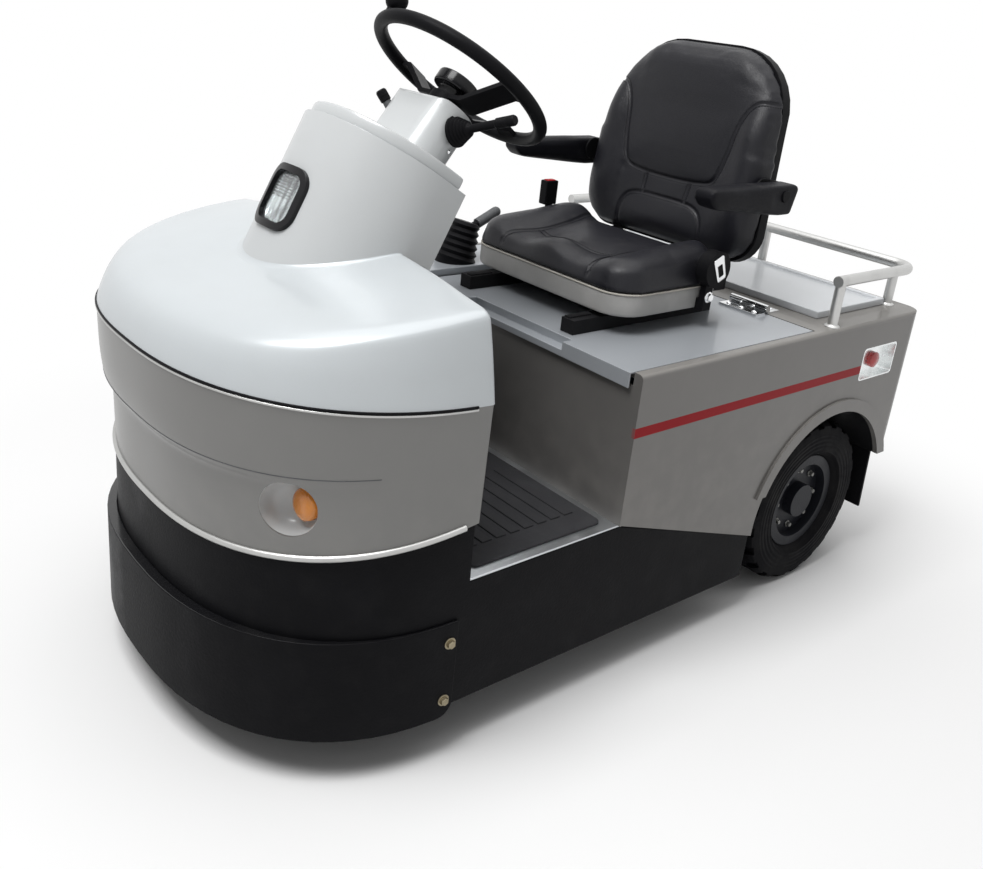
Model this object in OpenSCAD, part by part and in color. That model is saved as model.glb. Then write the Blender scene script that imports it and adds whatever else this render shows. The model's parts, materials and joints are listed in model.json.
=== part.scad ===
// Electric tow tractor on three wheels: a steered front wheel under a rounded nose, a step-through floor,
// and a battery box that carries the seat, with a luggage deck and a tow jaw at the back.
// Millimetres. +Z is up, the nose faces -Y and +X is the driver's left. The origin lies on the ground,
// in the middle of the tractor's outline box.

/* [Overall] */
// Width over the body sides
body_w = 900; // [860:5:960]
// Rear axle to the front wheel's axle
wheelbase = 1235; // [1200:1:1280]
// Front axle to the tip of the nose
front_overhang = 247; // [235:1:280]
// Rear axle to the end of the tow jaw
rear_reach = 395; // [375:1:430]

/* [Wheels] */
// Outer diameter of the rear tyres
tyre_d = 415; // [400:1:420]
// Width of the rear tyres
tyre_w = 112; // [100:1:116]
// Outer diameter of the front tyre
front_tyre_d = 380; // [360:1:385]
// Width of the front tyre
front_tyre_w = 95; // [85:1:100]
// Diameter of the rim flanges
rim_d = 238; // [220:1:250]
// Distance between the middles of the rear tyres
rear_track = 742; // [724:1:760]
// Tread lugs on each shoulder of a tyre
lug_count = 22; // [16:1:26]
// Depth of the tread
tread_h = 13; // [8:1:16]

/* [Nose] */
// Front axle to the back edge of the nose
nose_lap = 165; // [150:1:185]
// Lower edge of the nose band at its back edge
band_back_z = 467; // [460:1:480]
// Lower edge of the nose band at the tip
band_tip_z = 415; // [405:1:440]
// Seam under the hood at its back edge
seam_back_z = 683; // [660:1:700]
// Seam under the hood at the tip
seam_tip_z = 707; // [690:1:730]
// Top of the hood at the middle of its back edge
hood_crown_z = 862; // [840:1:890]
// Lower edge of the bumper
bumper_z = 87; // [75:1:100]
// Height of the bumper
bumper_h = 198; // [170:1:215]
// Wall of the nose shells
nose_wall = 6; // [4:0.5:8]

/* [Cowl and steering] */
// Radius of the cowl's rounded front
cowl_r = 173; // [160:1:182]
// Depth of the cowl from front to back
cowl_depth = 230; // [220:1:245]
// Length of the cowl's front line
cowl_len = 288; // [275:1:305]
// Lean of the cowl from upright, in degrees
cowl_lean = 27; // [24:1:30]
// Lean of the steering column from upright, in degrees
column_tilt = 37; // [33:1:40]
// Height of the middle of the steering wheel
wheel_z = 1128; // [1110:1:1150]
// Radius of the steering wheel to the middle of its grip
wheel_r = 178; // [165:1:190]
// Radius of the steering wheel's grip
grip_r = 13; // [11:0.5:15]

/* [Floor and body] */
// Height of the step
step_z = 358; // [345:1:365]
// Rear axle to the front panel of the battery box
box_front = 709; // [690:1:725]
// Height of the deck
deck_z = 669; // [650:1:690]
// Rear axle to the back of the body
tail_reach = 300; // [290:1:310]
// Sheet thickness of the body
body_wall = 6; // [4:0.5:8]
// Radius of the rear corners in plan
corner_r = 50; // [35:1:60]
// Radius of the wheel arches
arch_r = 250; // [240:1:256]
// Length of the battery lid
lid_l = 576; // [560:1:590]

/* [Seat] */
// Middle of the seat, to the left of the centre line
seat_x = 42; // [20:1:60]
// Width of the seat
seat_w = 500; // [460:1:510]
// Height of the seat pan's lower edge
pan_z = 708; // [704:1:720]
// Height of the top of the backrest
back_top_z = 1240; // [1180:1:1260]
// Lean of the backrest from upright, in degrees
back_lean = 9; // [5:1:14]

/* [Rail] */
// Height of the rail's tube above the deck
rail_h = 104; // [80:1:130]
// Radius of the rail's tube
rail_r = 12.5; // [10:0.5:14]

/* [Hidden] */
$fn = 48;

// Overrun of every cut past the face it leaves
cut = 20;
// Gap between faces of bodies that move against each other
clear = 0.3;
// Gap that a sweeping piece keeps
swing = 6;
// Radial clearance of a pin in its bore
pin_fit = 0.05;
// Size of a block that cuts a half space away
far = 1600;

// Places along the tractor
half_w = body_w / 2;
front_reach = wheelbase + front_overhang;
nose_back = wheelbase - nose_lap;
y_axle = (front_reach - rear_reach) / 2;
y_front = y_axle - wheelbase;
y_tip = y_axle - front_reach;
y_nose = y_axle - nose_back;
y_box = y_axle - box_front;
y_tail = y_axle + tail_reach;
y_jaw = y_axle + rear_reach;
axle_z = tyre_d / 2;
front_z = front_tyre_d / 2;
nose_depth = front_overhang + nose_lap;

// Fullness of the nose outline: 1 is an ellipse, less is squarer
nose_power_share = 0.823;
// Strips round the nose
nose_steps = 36;

function spow(v, e) = sign(v) * pow(abs(v), e);
function mix(a, b, s) = a + (b - a) * s;

// A point of a nose outline of half width a and depth b, t degrees round from the left back edge
function nose_at(a, b, t) = [a * spow(cos(t), nose_power_share), y_nose - b * pow(sin(t), nose_power_share)];
function nose_turn(i) = 180 * i / nose_steps;
function nose_line(a, b) = [for (i = [0 : nose_steps]) nose_at(a, b, nose_turn(i))];

// Points of a rectangle with rounded corners round the origin
function round_rect(w, h, r, n = 6) = [
  for (c = [0 : 3], k = [0 : n])
    let (a = 90 * (c + k / n), sx = (c == 0 || c == 3) ? 1 : -1, sy = c < 2 ? 1 : -1)
      [sx * (w / 2 - r) + r * cos(a), sy * (h / 2 - r) + r * sin(a)]
];

// Extrudes a side view, drawn as [y, z], across the tractor
module across(w) {
  rotate([90, 0, 90]) linear_extrude(w, center = true) children();
}

// Extrudes a front view, drawn as [x, z], from y0 to y1
module along(y0, y1) {
  translate([0, y1, 0]) rotate([90, 0, 0]) linear_extrude(y1 - y0) children();
}

module both_sides() {
  children();
  mirror([1, 0, 0]) children();
}

// A wall between two matching grids of points, closed round its four edges
module wall(outer, inner) {
  m = len(outer);
  n = len(outer[0]);
  half = m * n;
  r = m - 1;
  e = n - 1;
  function quad(a, b, c, d) = [[a, b, c], [a, c, d]];
  function p(i, k) = i * n + k;
  faces = concat(
    [for (i = [0 : m - 2], k = [0 : n - 2], f = quad(p(i, k), p(i, k + 1), p(i + 1, k + 1), p(i + 1, k))) f],
    [for (i = [0 : m - 2], k = [0 : n - 2], f = quad(p(i, k), p(i + 1, k), p(i + 1, k + 1), p(i, k + 1)))
      [for (v = f) v + half]],
    [for (i = [0 : m - 2], f = quad(p(i, 0), p(i + 1, 0), p(i + 1, 0) + half, p(i, 0) + half)) f],
    [for (i = [0 : m - 2], f = quad(p(i, e), p(i, e) + half, p(i + 1, e) + half, p(i + 1, e))) f],
    [for (k = [0 : n - 2], f = quad(p(0, k), p(0, k) + half, p(0, k + 1) + half, p(0, k + 1))) f],
    [for (k = [0 : n - 2], f = quad(p(r, k), p(r, k + 1), p(r, k + 1) + half, p(r, k) + half)) f]
  );
  polyhedron(points = [for (g = [outer, inner], row = g) each row], faces = faces);
}

// A solid through matching rings of points, closed by its first and last ring
module loft(rings) {
  m = len(rings);
  n = len(rings[0]);
  sides = [
    for (j = [0 : m - 2], i = [0 : n - 1])
      let (a = j * n + i, b = j * n + (i + 1) % n, c = b + n, d = a + n)
        each [[a, c, b], [a, d, c]]
  ];
  polyhedron(
    points = [for (r = rings) each r],
    faces = concat([[for (i = [0 : n - 1]) i]], sides, [[for (i = [n - 1 : -1 : 0]) (m - 1) * n + i]])
  );
}

// Chassis

rail_w = 60;
rail_gap = 30;
rail_x = rear_track / 2 - tyre_w / 2 - rail_gap - rail_w / 2;
rail_low = 250;
floor_t = 4;
rail_top = step_z - floor_t;
rail_front = 105;
rail_back = 30;
beam_w = 70;
head_z = 412;
head_t = 14;
head_half = rail_x + rail_w / 2;
head_front = 100;
head_back = 95;
spindle_r = 32;
upright_l = 120;
upright_inset = 10;

module chassis_frame() {
  y_rail = y_front - rail_front;
  beams = [
    y_front + front_tyre_d / 2 + beam_w, y_box + beam_w, y_axle - arch_r, y_tail - body_wall - beam_w / 2
  ];
  color("#26282a") difference() {
    union() {
      both_sides() {
        translate([rail_x - rail_w / 2, y_rail, rail_low])
          cube([rail_w, y_tail - body_wall - rail_back - y_rail, rail_top - rail_low]);
        translate([rail_x - rail_w / 2, y_front - upright_l / 2, rail_top])
          cube([rail_w - upright_inset, upright_l, head_z - rail_top]);
      }
      for (y = beams)
        translate([-rail_x, y - beam_w / 2, rail_low + upright_inset])
          cube([2 * rail_x, beam_w, rail_top - rail_low - 2 * upright_inset]);
      translate([-head_half, y_front - head_front, head_z])
        cube([2 * head_half, head_front + head_back, head_t]);
    }
    translate([0, y_front, head_z - cut]) cylinder(r = spindle_r + pin_fit, h = head_t + 2 * cut);
  }
}

skirt_inset = body_wall;
skirt_lip = 25;
skirt_t = 8;
skirt_z = 104;
skirt_back_z = 95;
skirt_low_z = 203;
skirt_a = half_w - skirt_inset;
skirt_b = nose_depth - skirt_lip;
y_skirt = y_axle - arch_r;

module skirt_plan(a, b, y_end) {
  polygon(concat(nose_line(a, b), [[-a, y_end], [a, y_end]]));
}

module chassis_skirt() {
  tip_z = mix(band_back_z, band_tip_z, skirt_b / nose_depth);
  color("#2b2c2e") intersection() {
    difference() {
      linear_extrude(band_back_z) skirt_plan(skirt_a, skirt_b, y_skirt);
      translate([0, 0, -cut])
        linear_extrude(band_back_z + 2 * cut) skirt_plan(skirt_a - skirt_t, skirt_b - skirt_t, y_skirt + cut);
    }
    across(body_w) polygon([
      [y_nose - skirt_b - cut, skirt_z],
      [y_nose - skirt_b, tip_z],
      [y_nose, band_back_z],
      [y_nose, step_z - floor_t],
      [y_box + body_wall, step_z - floor_t],
      [y_skirt, skirt_low_z],
      [y_skirt, skirt_back_z],
      [y_nose, skirt_z]
    ]);
  }
}

bumper_back = 18;
bumper_corner_r = 30;
bumper_b = nose_depth - floor_t;

module front_bumper() {
  y_end = y_nose - bumper_back;
  color("#242527") intersection() {
    translate([0, 0, bumper_z]) linear_extrude(bumper_h) difference() {
      skirt_plan(half_w, bumper_b, y_nose);
      skirt_plan(skirt_a, skirt_b, y_nose + cut);
    }
    across(body_w) difference() {
      translate([y_tip, bumper_z]) square([y_end - y_tip, bumper_h]);
      translate([y_end - bumper_corner_r, bumper_z]) difference() {
        translate([0, -cut]) square([bumper_corner_r + cut, bumper_corner_r + cut]);
        translate([0, bumper_corner_r]) circle(r = bumper_corner_r);
      }
    }
  }
}

// Nose band

band_in = 2;
seam_out = 3;
band_half = half_w - band_in;
seam_half = half_w + seam_out;
band_setback = 27;
band_b = nose_depth - band_setback;

// Levels of the band from its lower edge to the seam: share of the height, share of the overhang at the tip
band_level_shares = [[0, 0], [0.45, 0.1], [0.56, 0.72], [0.75, 0.94], [1, 1]];

function band_z(b, d, back, tip) = mix(back, tip, d / b);
function band_point(i, level, inset) =
  let (
    h = level[0],
    b = band_b + band_setback * level[1],
    p = nose_at(mix(band_half, seam_half, h) - inset, b - inset, nose_turn(i)),
    d = y_nose - p[1],
    low = band_z(nose_depth, d, band_back_z, band_tip_z),
    high = band_z(nose_depth, d, seam_back_z, seam_tip_z)
  )
    [p[0], p[1], mix(low, high, h)];

module band_wall() {
  wall(
    [for (i = [0 : nose_steps]) [for (s = band_level_shares) band_point(i, s, 0)]],
    [for (i = [0 : nose_steps]) [for (s = band_level_shares) band_point(i, s, nose_wall)]]
  );
}

module band_solid() {
  loft([for (s = band_level_shares) [for (i = [0 : nose_steps]) band_point(i, s, 0)]]);
}

indicator_side = 110;
indicator_z = 523;
indicator_r = 49;
indicator_wall = 3;
indicator_back = 218;
indicator_lens_r = 33;
indicator_lens_h = 32;
lens_dome_share = 1.25;

// On the back wall of the left bowl, facing forwards
module indicator_axis() {
  translate([half_w - indicator_side, y_nose - indicator_back, indicator_z]) rotate([90, 0, 0]) children();
}

module nose_band() {
  color("#b4b6b4") difference() {
    band_wall();
    both_sides() indicator_axis() translate([0, 0, -indicator_wall]) cylinder(r = indicator_r, h = far);
  }
}

module indicator_bowls() {
  color("#c4c6c5") intersection() {
    band_solid();
    both_sides() indicator_axis() difference() {
      translate([0, 0, -indicator_wall]) cylinder(r = indicator_r, h = far);
      cylinder(r = indicator_r - indicator_wall, h = far + cut);
    }
  }
}

module indicator_lenses() {
  dome_r = indicator_lens_r * lens_dome_share;
  color("#e08a12") both_sides() indicator_axis() intersection() {
    cylinder(r = indicator_lens_r, h = indicator_lens_h);
    translate([0, 0, indicator_lens_h - dome_r]) sphere(r = dome_r);
  }
}

// Hood

// Profile of the hood from the seam inwards: at the sides, then at the tip,
// each as a share of the outline's reach and a share of the rise from the seam to the crown
hood_profile_shares = [
  [1.00, 0.00, 1.000, 0.00],
  [0.988, 0.15, 0.985, 0.13],
  [0.955, 0.52, 0.958, 0.28],
  [0.925, 0.77, 0.915, 0.41],
  [0.895, 0.81, 0.850, 0.50],
  [0.786, 0.85, 0.740, 0.57],
  [0.627, 0.91, 0.600, 0.64],
  [0.433, 0.96, 0.420, 0.74],
  [0.250, 0.99, 0.250, 0.85]
];

function hood_point(i, k, inset) =
  let (
    t = nose_turn(i),
    w = sin(t),
    row = hood_profile_shares[k],
    reach = mix(row[0], row[2], w),
    rise = mix(row[1], row[3], w),
    p = nose_at(seam_half - inset, nose_depth - inset, t),
    seam = band_z(nose_depth, y_nose - nose_at(seam_half, nose_depth, t)[1], seam_back_z, seam_tip_z),
    drop = inset * min(1, k / 2)
  )
    [p[0] * reach, mix(y_nose, p[1], reach), mix(seam, hood_crown_z, rise) - drop];

hood_rows = [0 : len(hood_profile_shares) - 1];

module hood() {
  color("#cfd2d2") difference() {
    wall(
      [for (i = [0 : nose_steps]) [for (k = hood_rows) hood_point(i, k, 0)]],
      [for (i = [0 : nose_steps]) [for (k = hood_rows) hood_point(i, k, nose_wall)]]
    );
    cowl_prism(0, -cowl_sink);
  }
}

// Cowl

cowl_foot = 193;
cowl_foot_z = 814;
cowl_sink = 60;
cowl_seat = 14;
cowl_back_len = 125;
cowl_back_at = 162;
cowl_back_rise = 132;
cap_tilt = 31;
cap_inset = 9;
cap_h = 24;

module on_cowl() {
  translate([0, y_nose - cowl_foot, cowl_foot_z]) rotate([-cowl_lean, 0, 0]) children();
}

// The half space above the cowl's sloping top, raised by h
module above_cowl(h) {
  on_cowl() translate([0, 0, cowl_len]) rotate([cowl_lean - cap_tilt, 0, 0])
    translate([-far / 2, -far / 2, h]) cube(far);
}

module cowl_prism(inset, low) {
  r = cowl_r - inset;
  on_cowl() translate([0, cowl_r, low]) linear_extrude(far / 2) {
    difference() {
      circle(r = r);
      translate([-far / 2, 0]) square([far, far]);
    }
    translate([-r, 0]) square([2 * r, cowl_depth - cowl_r - inset]);
  }
}

lamp_w = 116;
lamp_h = 116;
lamp_corner_r = 34;
lamp_at = 126;
lamp_depth = 50;
lamp_proud = 7;
lamp_frame = 13;
lens_inset = 9;
lens_t = 16;

module on_lamp() {
  on_cowl() translate([0, lamp_depth, lamp_at]) rotate([90, 0, 0]) children();
}

// The round of the cowl's front, grown by h
module cowl_round(h) {
  on_cowl() translate([0, cowl_r, 0]) cylinder(r = cowl_r + h, h = cowl_len);
}

module lamp_opening() {
  polygon(round_rect(lamp_w - 2 * lamp_frame, lamp_h - 2 * lamp_frame, lamp_corner_r - lamp_frame));
}

module column_cowl() {
  color("#c9cccc") difference() {
    cowl_prism(0, -cowl_sink);
    above_cowl(0);
    on_cowl() across(far) polygon([
      [-cut, -cowl_seat], [0, -cowl_seat], [cowl_back_at, cowl_back_rise - cowl_seat],
      [cowl_back_at, cowl_back_len], [far, cowl_back_len], [far, -far], [-cut, -far]
    ]);
    on_lamp() linear_extrude(lamp_depth + cut) polygon(round_rect(lamp_w, lamp_h, lamp_corner_r));
  }
}

module cowl_cap() {
  color("#d3d5d5") difference() {
    cowl_prism(cap_inset, cowl_back_len);
    above_cowl(cap_h);
    difference() {
      on_cowl() translate([-far / 2, -far / 2, 0]) cube(far);
      above_cowl(0);
    }
  }
}

module headlamp_bezel() {
  color("#1c1d1e") difference() {
    intersection() {
      on_lamp() linear_extrude(lamp_depth + lamp_proud) polygon(round_rect(lamp_w, lamp_h, lamp_corner_r));
      cowl_round(lamp_proud);
    }
    on_lamp() translate([0, 0, lens_t]) linear_extrude(lamp_depth + cut) lamp_opening();
  }
}

module headlamp_lens() {
  color("#e4eaec") intersection() {
    on_lamp() translate([0, 0, lens_t]) linear_extrude(lamp_depth) lamp_opening();
    cowl_round(lamp_proud - lens_inset);
  }
}

// Steering column

wheel_back = 237;
y_wheel = y_nose + wheel_back;
neck_w = 180;
neck_front = 66;
neck_back = 38;
neck_top = 70;
neck_r = 50;
neck_edge_r = 18;
neck_len = 190;

module on_column() {
  translate([0, y_wheel, wheel_z]) rotate([-column_tilt, 0, 0]) children();
}

module neck_block() {
  depth = neck_front + neck_back;
  on_column() translate([0, (neck_back - neck_front) / 2, -neck_top - neck_len]) intersection() {
    linear_extrude(neck_len) polygon(round_rect(neck_w, depth, neck_r));
    translate([0, 0, neck_len / 2]) across(neck_w) polygon(round_rect(depth, neck_len, neck_edge_r));
  }
}

module column_neck() {
  color("#cfd2d2") difference() {
    neck_block();
    difference() {
      on_cowl() translate([-far / 2, -far / 2, 0]) cube(far);
      above_cowl(cap_h);
    }
    on_cowl() translate([-far / 2, -far / 2, -far + cowl_back_len]) cube(far);
  }
}

hub_r = 34;
hub_drop = 52;
spoke_w = 46;
spoke_t = 9;
spoke_flat_share = 0.36;
spoke_rise_share = 0.82;
horn_r = 43;
horn_h = 26;
horn_gap = 16;
knob_r = 21;
knob_turn = 248;
ring_turn = 45;
knob_stem_r = 8;
knob_stem_h = 22;
knob_seat_share = 0.8;

module spoke() {
  flat = wheel_r * spoke_flat_share;
  rise = wheel_r * spoke_rise_share;
  rotate([90, 0, 0]) linear_extrude(spoke_w, center = true) polygon([
    [0, -hub_drop], [flat, -hub_drop], [rise, -spoke_t / 2], [wheel_r, -spoke_t / 2],
    [wheel_r, spoke_t / 2], [rise - spoke_t / 2, spoke_t / 2], [flat - spoke_t / 2, spoke_t - hub_drop],
    [0, spoke_t - hub_drop]
  ]);
}

module steering_wheel() {
  color("#1d1e20") on_column() {
    rotate([0, 0, ring_turn]) rotate_extrude() translate([wheel_r, 0]) circle(r = grip_r);
    for (turn = [0, 90, 180]) rotate([0, 0, turn]) spoke();
    translate([0, 0, -neck_top + clear]) cylinder(r = hub_r, h = neck_top - hub_drop + spoke_t - clear);
    rotate([0, 0, knob_turn]) translate([wheel_r, 0, 0]) {
      cylinder(r = knob_stem_r, h = knob_stem_h);
      translate([0, 0, knob_stem_h + knob_r * knob_seat_share]) sphere(r = knob_r);
    }
  }
}

module horn_button() {
  color("#232426") on_column() translate([0, 0, spoke_t - hub_drop]) {
    cylinder(r = horn_r - horn_gap, h = horn_gap);
    translate([0, 0, horn_gap]) cylinder(r = horn_r, h = horn_h);
  }
}

boot_r = 29;
boot_tip_r = 11;
boot_h = 52;
boot_sink = 16;
boot_ahead = 10;
boot_drop = 114;
boot_turn = 68;
stalk_r = 8;
stalk_l = 62;
stalk_tip_r = 10;
stalk_tip_l = 40;
lever_r = 9;
lever_cap_r = 11;
lever_cap_l = 24;
lever_l = 62;
lever_sink = 14;
lever_ahead = 20;
lever_drop = 118;
lever_turn = 49;
lever_pitch = 48;

module column_stalks() {
  color("#25262a") difference() {
    on_column() {
      translate([neck_w / 2 - boot_sink, -boot_ahead, -boot_drop]) rotate([0, boot_turn, 0]) {
        cylinder(r1 = boot_r, r2 = boot_tip_r, h = boot_h);
        cylinder(r = stalk_r, h = boot_h + stalk_l);
        translate([0, 0, boot_h + stalk_l]) cylinder(r = stalk_tip_r, h = stalk_tip_l);
      }
      translate([lever_sink - neck_w / 2, -lever_ahead, -lever_drop]) rotate([lever_pitch, -lever_turn, 0]) {
        cylinder(r = lever_r, h = lever_l - lever_cap_l);
        translate([0, 0, lever_l - lever_cap_l]) cylinder(r = lever_cap_r, h = lever_cap_l);
      }
    }
    neck_block();
  }
}

// Footwell

dash_t = 8;
dash_gap = 10;
dash_fit = 0.8;
dash_side = 14;
dash_top = 34;
pedal_w = 74;
pedal_h = 112;
pedal_t = 10;
pedal_x = 95;
pedal_z = 420;
pedal_out = 58;
pedal_lean = 32;
pedal_arm_w = 22;
pedal_arm_t = 10;
pedal_arm_z = 560;

module dash_panel() {
  y1 = y_nose - dash_gap;
  side = skirt_a - skirt_t - dash_fit;
  color("#2a2b2d") along(y1 - dash_t, y1) polygon([
    [-side, step_z], [side, step_z], [side, seam_back_z],
    [hood_point(0, 3, 0)[0] - dash_side, hood_point(0, 3, 0)[2] - dash_side],
    [hood_point(0, 6, 0)[0], hood_point(0, 6, 0)[2] - dash_top],
    [-hood_point(0, 6, 0)[0], hood_point(0, 6, 0)[2] - dash_top],
    [-hood_point(0, 3, 0)[0] + dash_side, hood_point(0, 3, 0)[2] - dash_side],
    [-side, seam_back_z]
  ]);
}

module pedals() {
  y0 = y_nose - dash_gap;
  color("#1f2022") for (side = [-1, 1]) translate([side * pedal_x, 0, 0]) {
    translate([0, y0 + pedal_out, pedal_z]) rotate([pedal_lean, 0, 0])
      translate([-pedal_w / 2, -pedal_t, -pedal_h / 2]) cube([pedal_w, pedal_t, pedal_h]);
    across(pedal_arm_w) polygon([
      [y0, pedal_arm_z], [y0 + pedal_arm_t, pedal_arm_z], [y0 + pedal_out - pedal_t / 2, pedal_z],
      [y0 + pedal_out - pedal_arm_t - pedal_t / 2, pedal_z], [y0, pedal_arm_z - pedal_arm_t]
    ]);
  }
}

mat_t = 8;
mat_edge = 22;
rib_t = 5;
rib_w = 12;
rib_gap = 26;

module floor_plate() {
  inner = skirt_a - skirt_t - dash_fit;
  front = dash_gap + dash_t;
  color("#b9bcbb") translate([0, 0, step_z - floor_t]) {
    translate([-skirt_a, y_nose, 0]) cube([2 * skirt_a, y_box + body_wall - y_nose, floor_t]);
    translate([-inner, y_nose - front, 0]) cube([2 * inner, front, floor_t]);
  }
}

module floor_mat() {
  y0 = y_nose + mat_edge;
  y1 = y_box - mat_edge;
  w = 2 * (skirt_a - mat_edge);
  count = floor((w - rib_w) / rib_gap);
  color("#37383b") {
    translate([-w / 2, y0, step_z]) cube([w, y1 - y0, mat_t - rib_t]);
    for (i = [0 : count])
      translate([-rib_w / 2 + (i - count / 2) * rib_gap, y0, step_z + mat_t - rib_t])
        cube([rib_w, y1 - y0, rib_t]);
  }
}

// Rear body

front_r = 8;
top_r = 10;
deck_t = 14;
tail_z = 300;
lid_side = 22;
lid_t = 4;
ledge = 20;
panel_drop = 27;
flare_w = 30;
flare_h = 6;
lid_half = half_w - lid_side;
console_half = 215;

// The body's outside, pulled in by inset, up to the height top
module body_block(inset, top) {
  a = half_w - inset;
  w = 2 * a;
  y0 = y_box + inset;
  y1 = y_tail - inset;
  r = corner_r - inset;
  intersection() {
    linear_extrude(top) polygon(concat(
      [for (k = [0 : 6]) [a - r + r * cos(15 * k), y1 - r + r * sin(15 * k)]],
      [for (k = [6 : 12]) [r - a + r * cos(15 * k), y1 - r + r * sin(15 * k)]],
      [[-a, y0], [a, y0]]
    ));
    along(y_box - cut, y_tail + cut) translate([0, top / 2]) polygon(round_rect(w, top, top_r));
  }
}

module arch_cut(r, x0, x1) {
  translate([x0, y_axle, axle_z]) rotate([0, 90, 0]) cylinder(r = r, h = x1 - x0);
}

lamp_pocket_l = 144;
lamp_pocket_h = 81;
lamp_pocket_d = 22;
lamp_pocket_y = 132;
lamp_pocket_z = 564;
pocket_r = 10;

module tail_lamp_place() {
  translate([half_w, y_axle + lamp_pocket_y, lamp_pocket_z]) rotate([90, 0, 90]) children();
}

module rear_body() {
  color("#b4b6b4") difference() {
    union() {
      difference() {
        body_block(0, deck_z);
        translate([0, 0, -cut]) body_block(body_wall, deck_z - deck_t + cut);
      }
      both_sides() intersection() {
        arch_cut(arch_r + flare_w, half_w - body_wall, half_w + flare_h);
        translate([0, y_box, tail_z]) cube([far, far, far]);
      }
    }
    across(body_w + far) polygon([
      [y_box - cut, -cut], [y_box - cut, step_z], [y_box + body_wall, step_z], [y_skirt, skirt_low_z],
      [y_axle, skirt_low_z], [y_axle, tail_z], [y_tail + cut, tail_z], [y_tail + cut, -cut]
    ]);
    arch_cut(arch_r, -far, far);
    translate([-lid_half, y_box - cut, deck_z - lid_t - clear]) cube([2 * lid_half, lid_l + cut, deck_t]);
    translate([ledge - lid_half, y_box + body_wall, deck_z - deck_t - cut])
      cube([2 * (lid_half - ledge), lid_l - body_wall - ledge, deck_t + cut]);
    translate([-lid_half, y_box - cut, deck_z - panel_drop])
      cube([2 * lid_half, body_wall + cut, panel_drop]);
    both_sides() tail_lamp_place() translate([0, 0, -body_wall - cut]) linear_extrude(2 * cut + body_wall)
      polygon(round_rect(lamp_pocket_l, lamp_pocket_h, pocket_r));
  }
}

house_t = 4;
house_gap = 21;
house_x = rear_track / 2 - tyre_w / 2 - house_gap;
house_notch = 62;
house_notch_z = 332;

module wheel_houses() {
  color("#1e1f21") both_sides() difference() {
    arch_cut(arch_r + house_t, house_x, half_w - body_wall);
    arch_cut(arch_r, house_x + house_t, half_w);
    translate([0, y_axle - far / 2, -far + tail_z]) cube([far, far, far]);
    translate([0, y_axle - house_notch, 0]) cube([rail_x + rail_w / 2 + house_t, far / 2, house_notch_z]);
  }
}

lamp_ring = 4;
tail_lens_r = 19;
tail_lens_h = 15;

module tail_lamp_housings() {
  l = lamp_pocket_l - 2 * lamp_ring;
  h = lamp_pocket_h - 2 * lamp_ring;
  color("#c9cdcd") both_sides() tail_lamp_place() difference() {
    translate([0, 0, -lamp_pocket_d])
      linear_extrude(lamp_pocket_d) polygon(round_rect(lamp_pocket_l, lamp_pocket_h, pocket_r));
    translate([0, 0, lamp_ring - lamp_pocket_d])
      linear_extrude(lamp_pocket_d) polygon(round_rect(l, h, pocket_r - lamp_ring));
  }
}

module tail_lamp_lenses() {
  color("#c01a1a") both_sides() tail_lamp_place() translate([0, 0, lamp_ring - lamp_pocket_d])
    intersection() {
      cylinder(r = tail_lens_r, h = tail_lens_h);
      translate([0, 0, tail_lens_h - 2 * tail_lens_r]) sphere(r = 2 * tail_lens_r);
    }
}

tray_t = 17;
tray_side = 74;
tray_front = 84;
tray_back = 64;
tray_rim = 14;
tray_dip = 6;
y_seam = y_box + lid_l;

module luggage_deck() {
  y0 = y_seam + tray_front;
  w = body_w - 2 * tray_side;
  l = y_tail - tray_back - y0;
  color("#c3c6c6") translate([-w / 2, y0, deck_z]) difference() {
    cube([w, l, tray_t]);
    translate([tray_rim, tray_rim, tray_t - tray_dip]) cube([w - 2 * tray_rim, l - 2 * tray_rim, tray_t]);
  }
}

rail_side = 26;
rail_front_at = 70;
rail_tail = 50;
rail_bend = 48;
post_r = 11.5;
rail_end = 14;

module rear_rail() {
  x = half_w - rail_side;
  y0 = y_seam + rail_front_at;
  y1 = y_tail - rail_tail;
  z = deck_z + rail_h;
  color("#bfc2c2") {
    both_sides() {
      translate([x, y0 - rail_end, z]) rotate([-90, 0, 0])
        cylinder(r = rail_r, h = y1 - rail_bend - y0 + rail_end);
      translate([x - rail_bend, y1 - rail_bend, z])
        rotate_extrude(angle = 90) translate([rail_bend, 0]) circle(r = rail_r);
      translate([x, y0, deck_z]) cylinder(r = post_r, h = rail_h);
      translate([x - rail_bend, y1, deck_z]) cylinder(r = post_r, h = rail_h);
    }
    translate([rail_bend - x, y1, z]) rotate([0, 90, 0]) cylinder(r = rail_r, h = 2 * (x - rail_bend));
    translate([0, y1, deck_z]) cylinder(r = post_r, h = rail_h);
  }
}

flap_low = 138;
flap_t = 7;
flap_side = 14;
flap_gap = 33;
flap_lean = 12;

// The flaps hang from the back ends of the wheel houses
module mudflaps() {
  y0 = y_axle + sqrt(arch_r * arch_r - (tail_z - axle_z) * (tail_z - axle_z));
  x0 = rail_x + rail_w / 2 + flap_gap;
  x1 = half_w - flap_side;
  color("#1b1c1d") both_sides() translate([(x0 + x1) / 2, 0, 0]) across(x1 - x0) polygon([
    [y0, tail_z], [y0 + flap_t, tail_z], [y0 + flap_t + flap_lean, flap_low], [y0 + flap_lean, flap_low]
  ]);
}

tube_r = 42;
stub_r = 24;
drum_r = 62;
drum_w = 30;
diff_r = 100;
diff_w = 150;
motor_r = 84;
motor_l = 210;
pad_l = 120;
hub_in = 40;
stub_gap = 6;

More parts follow.
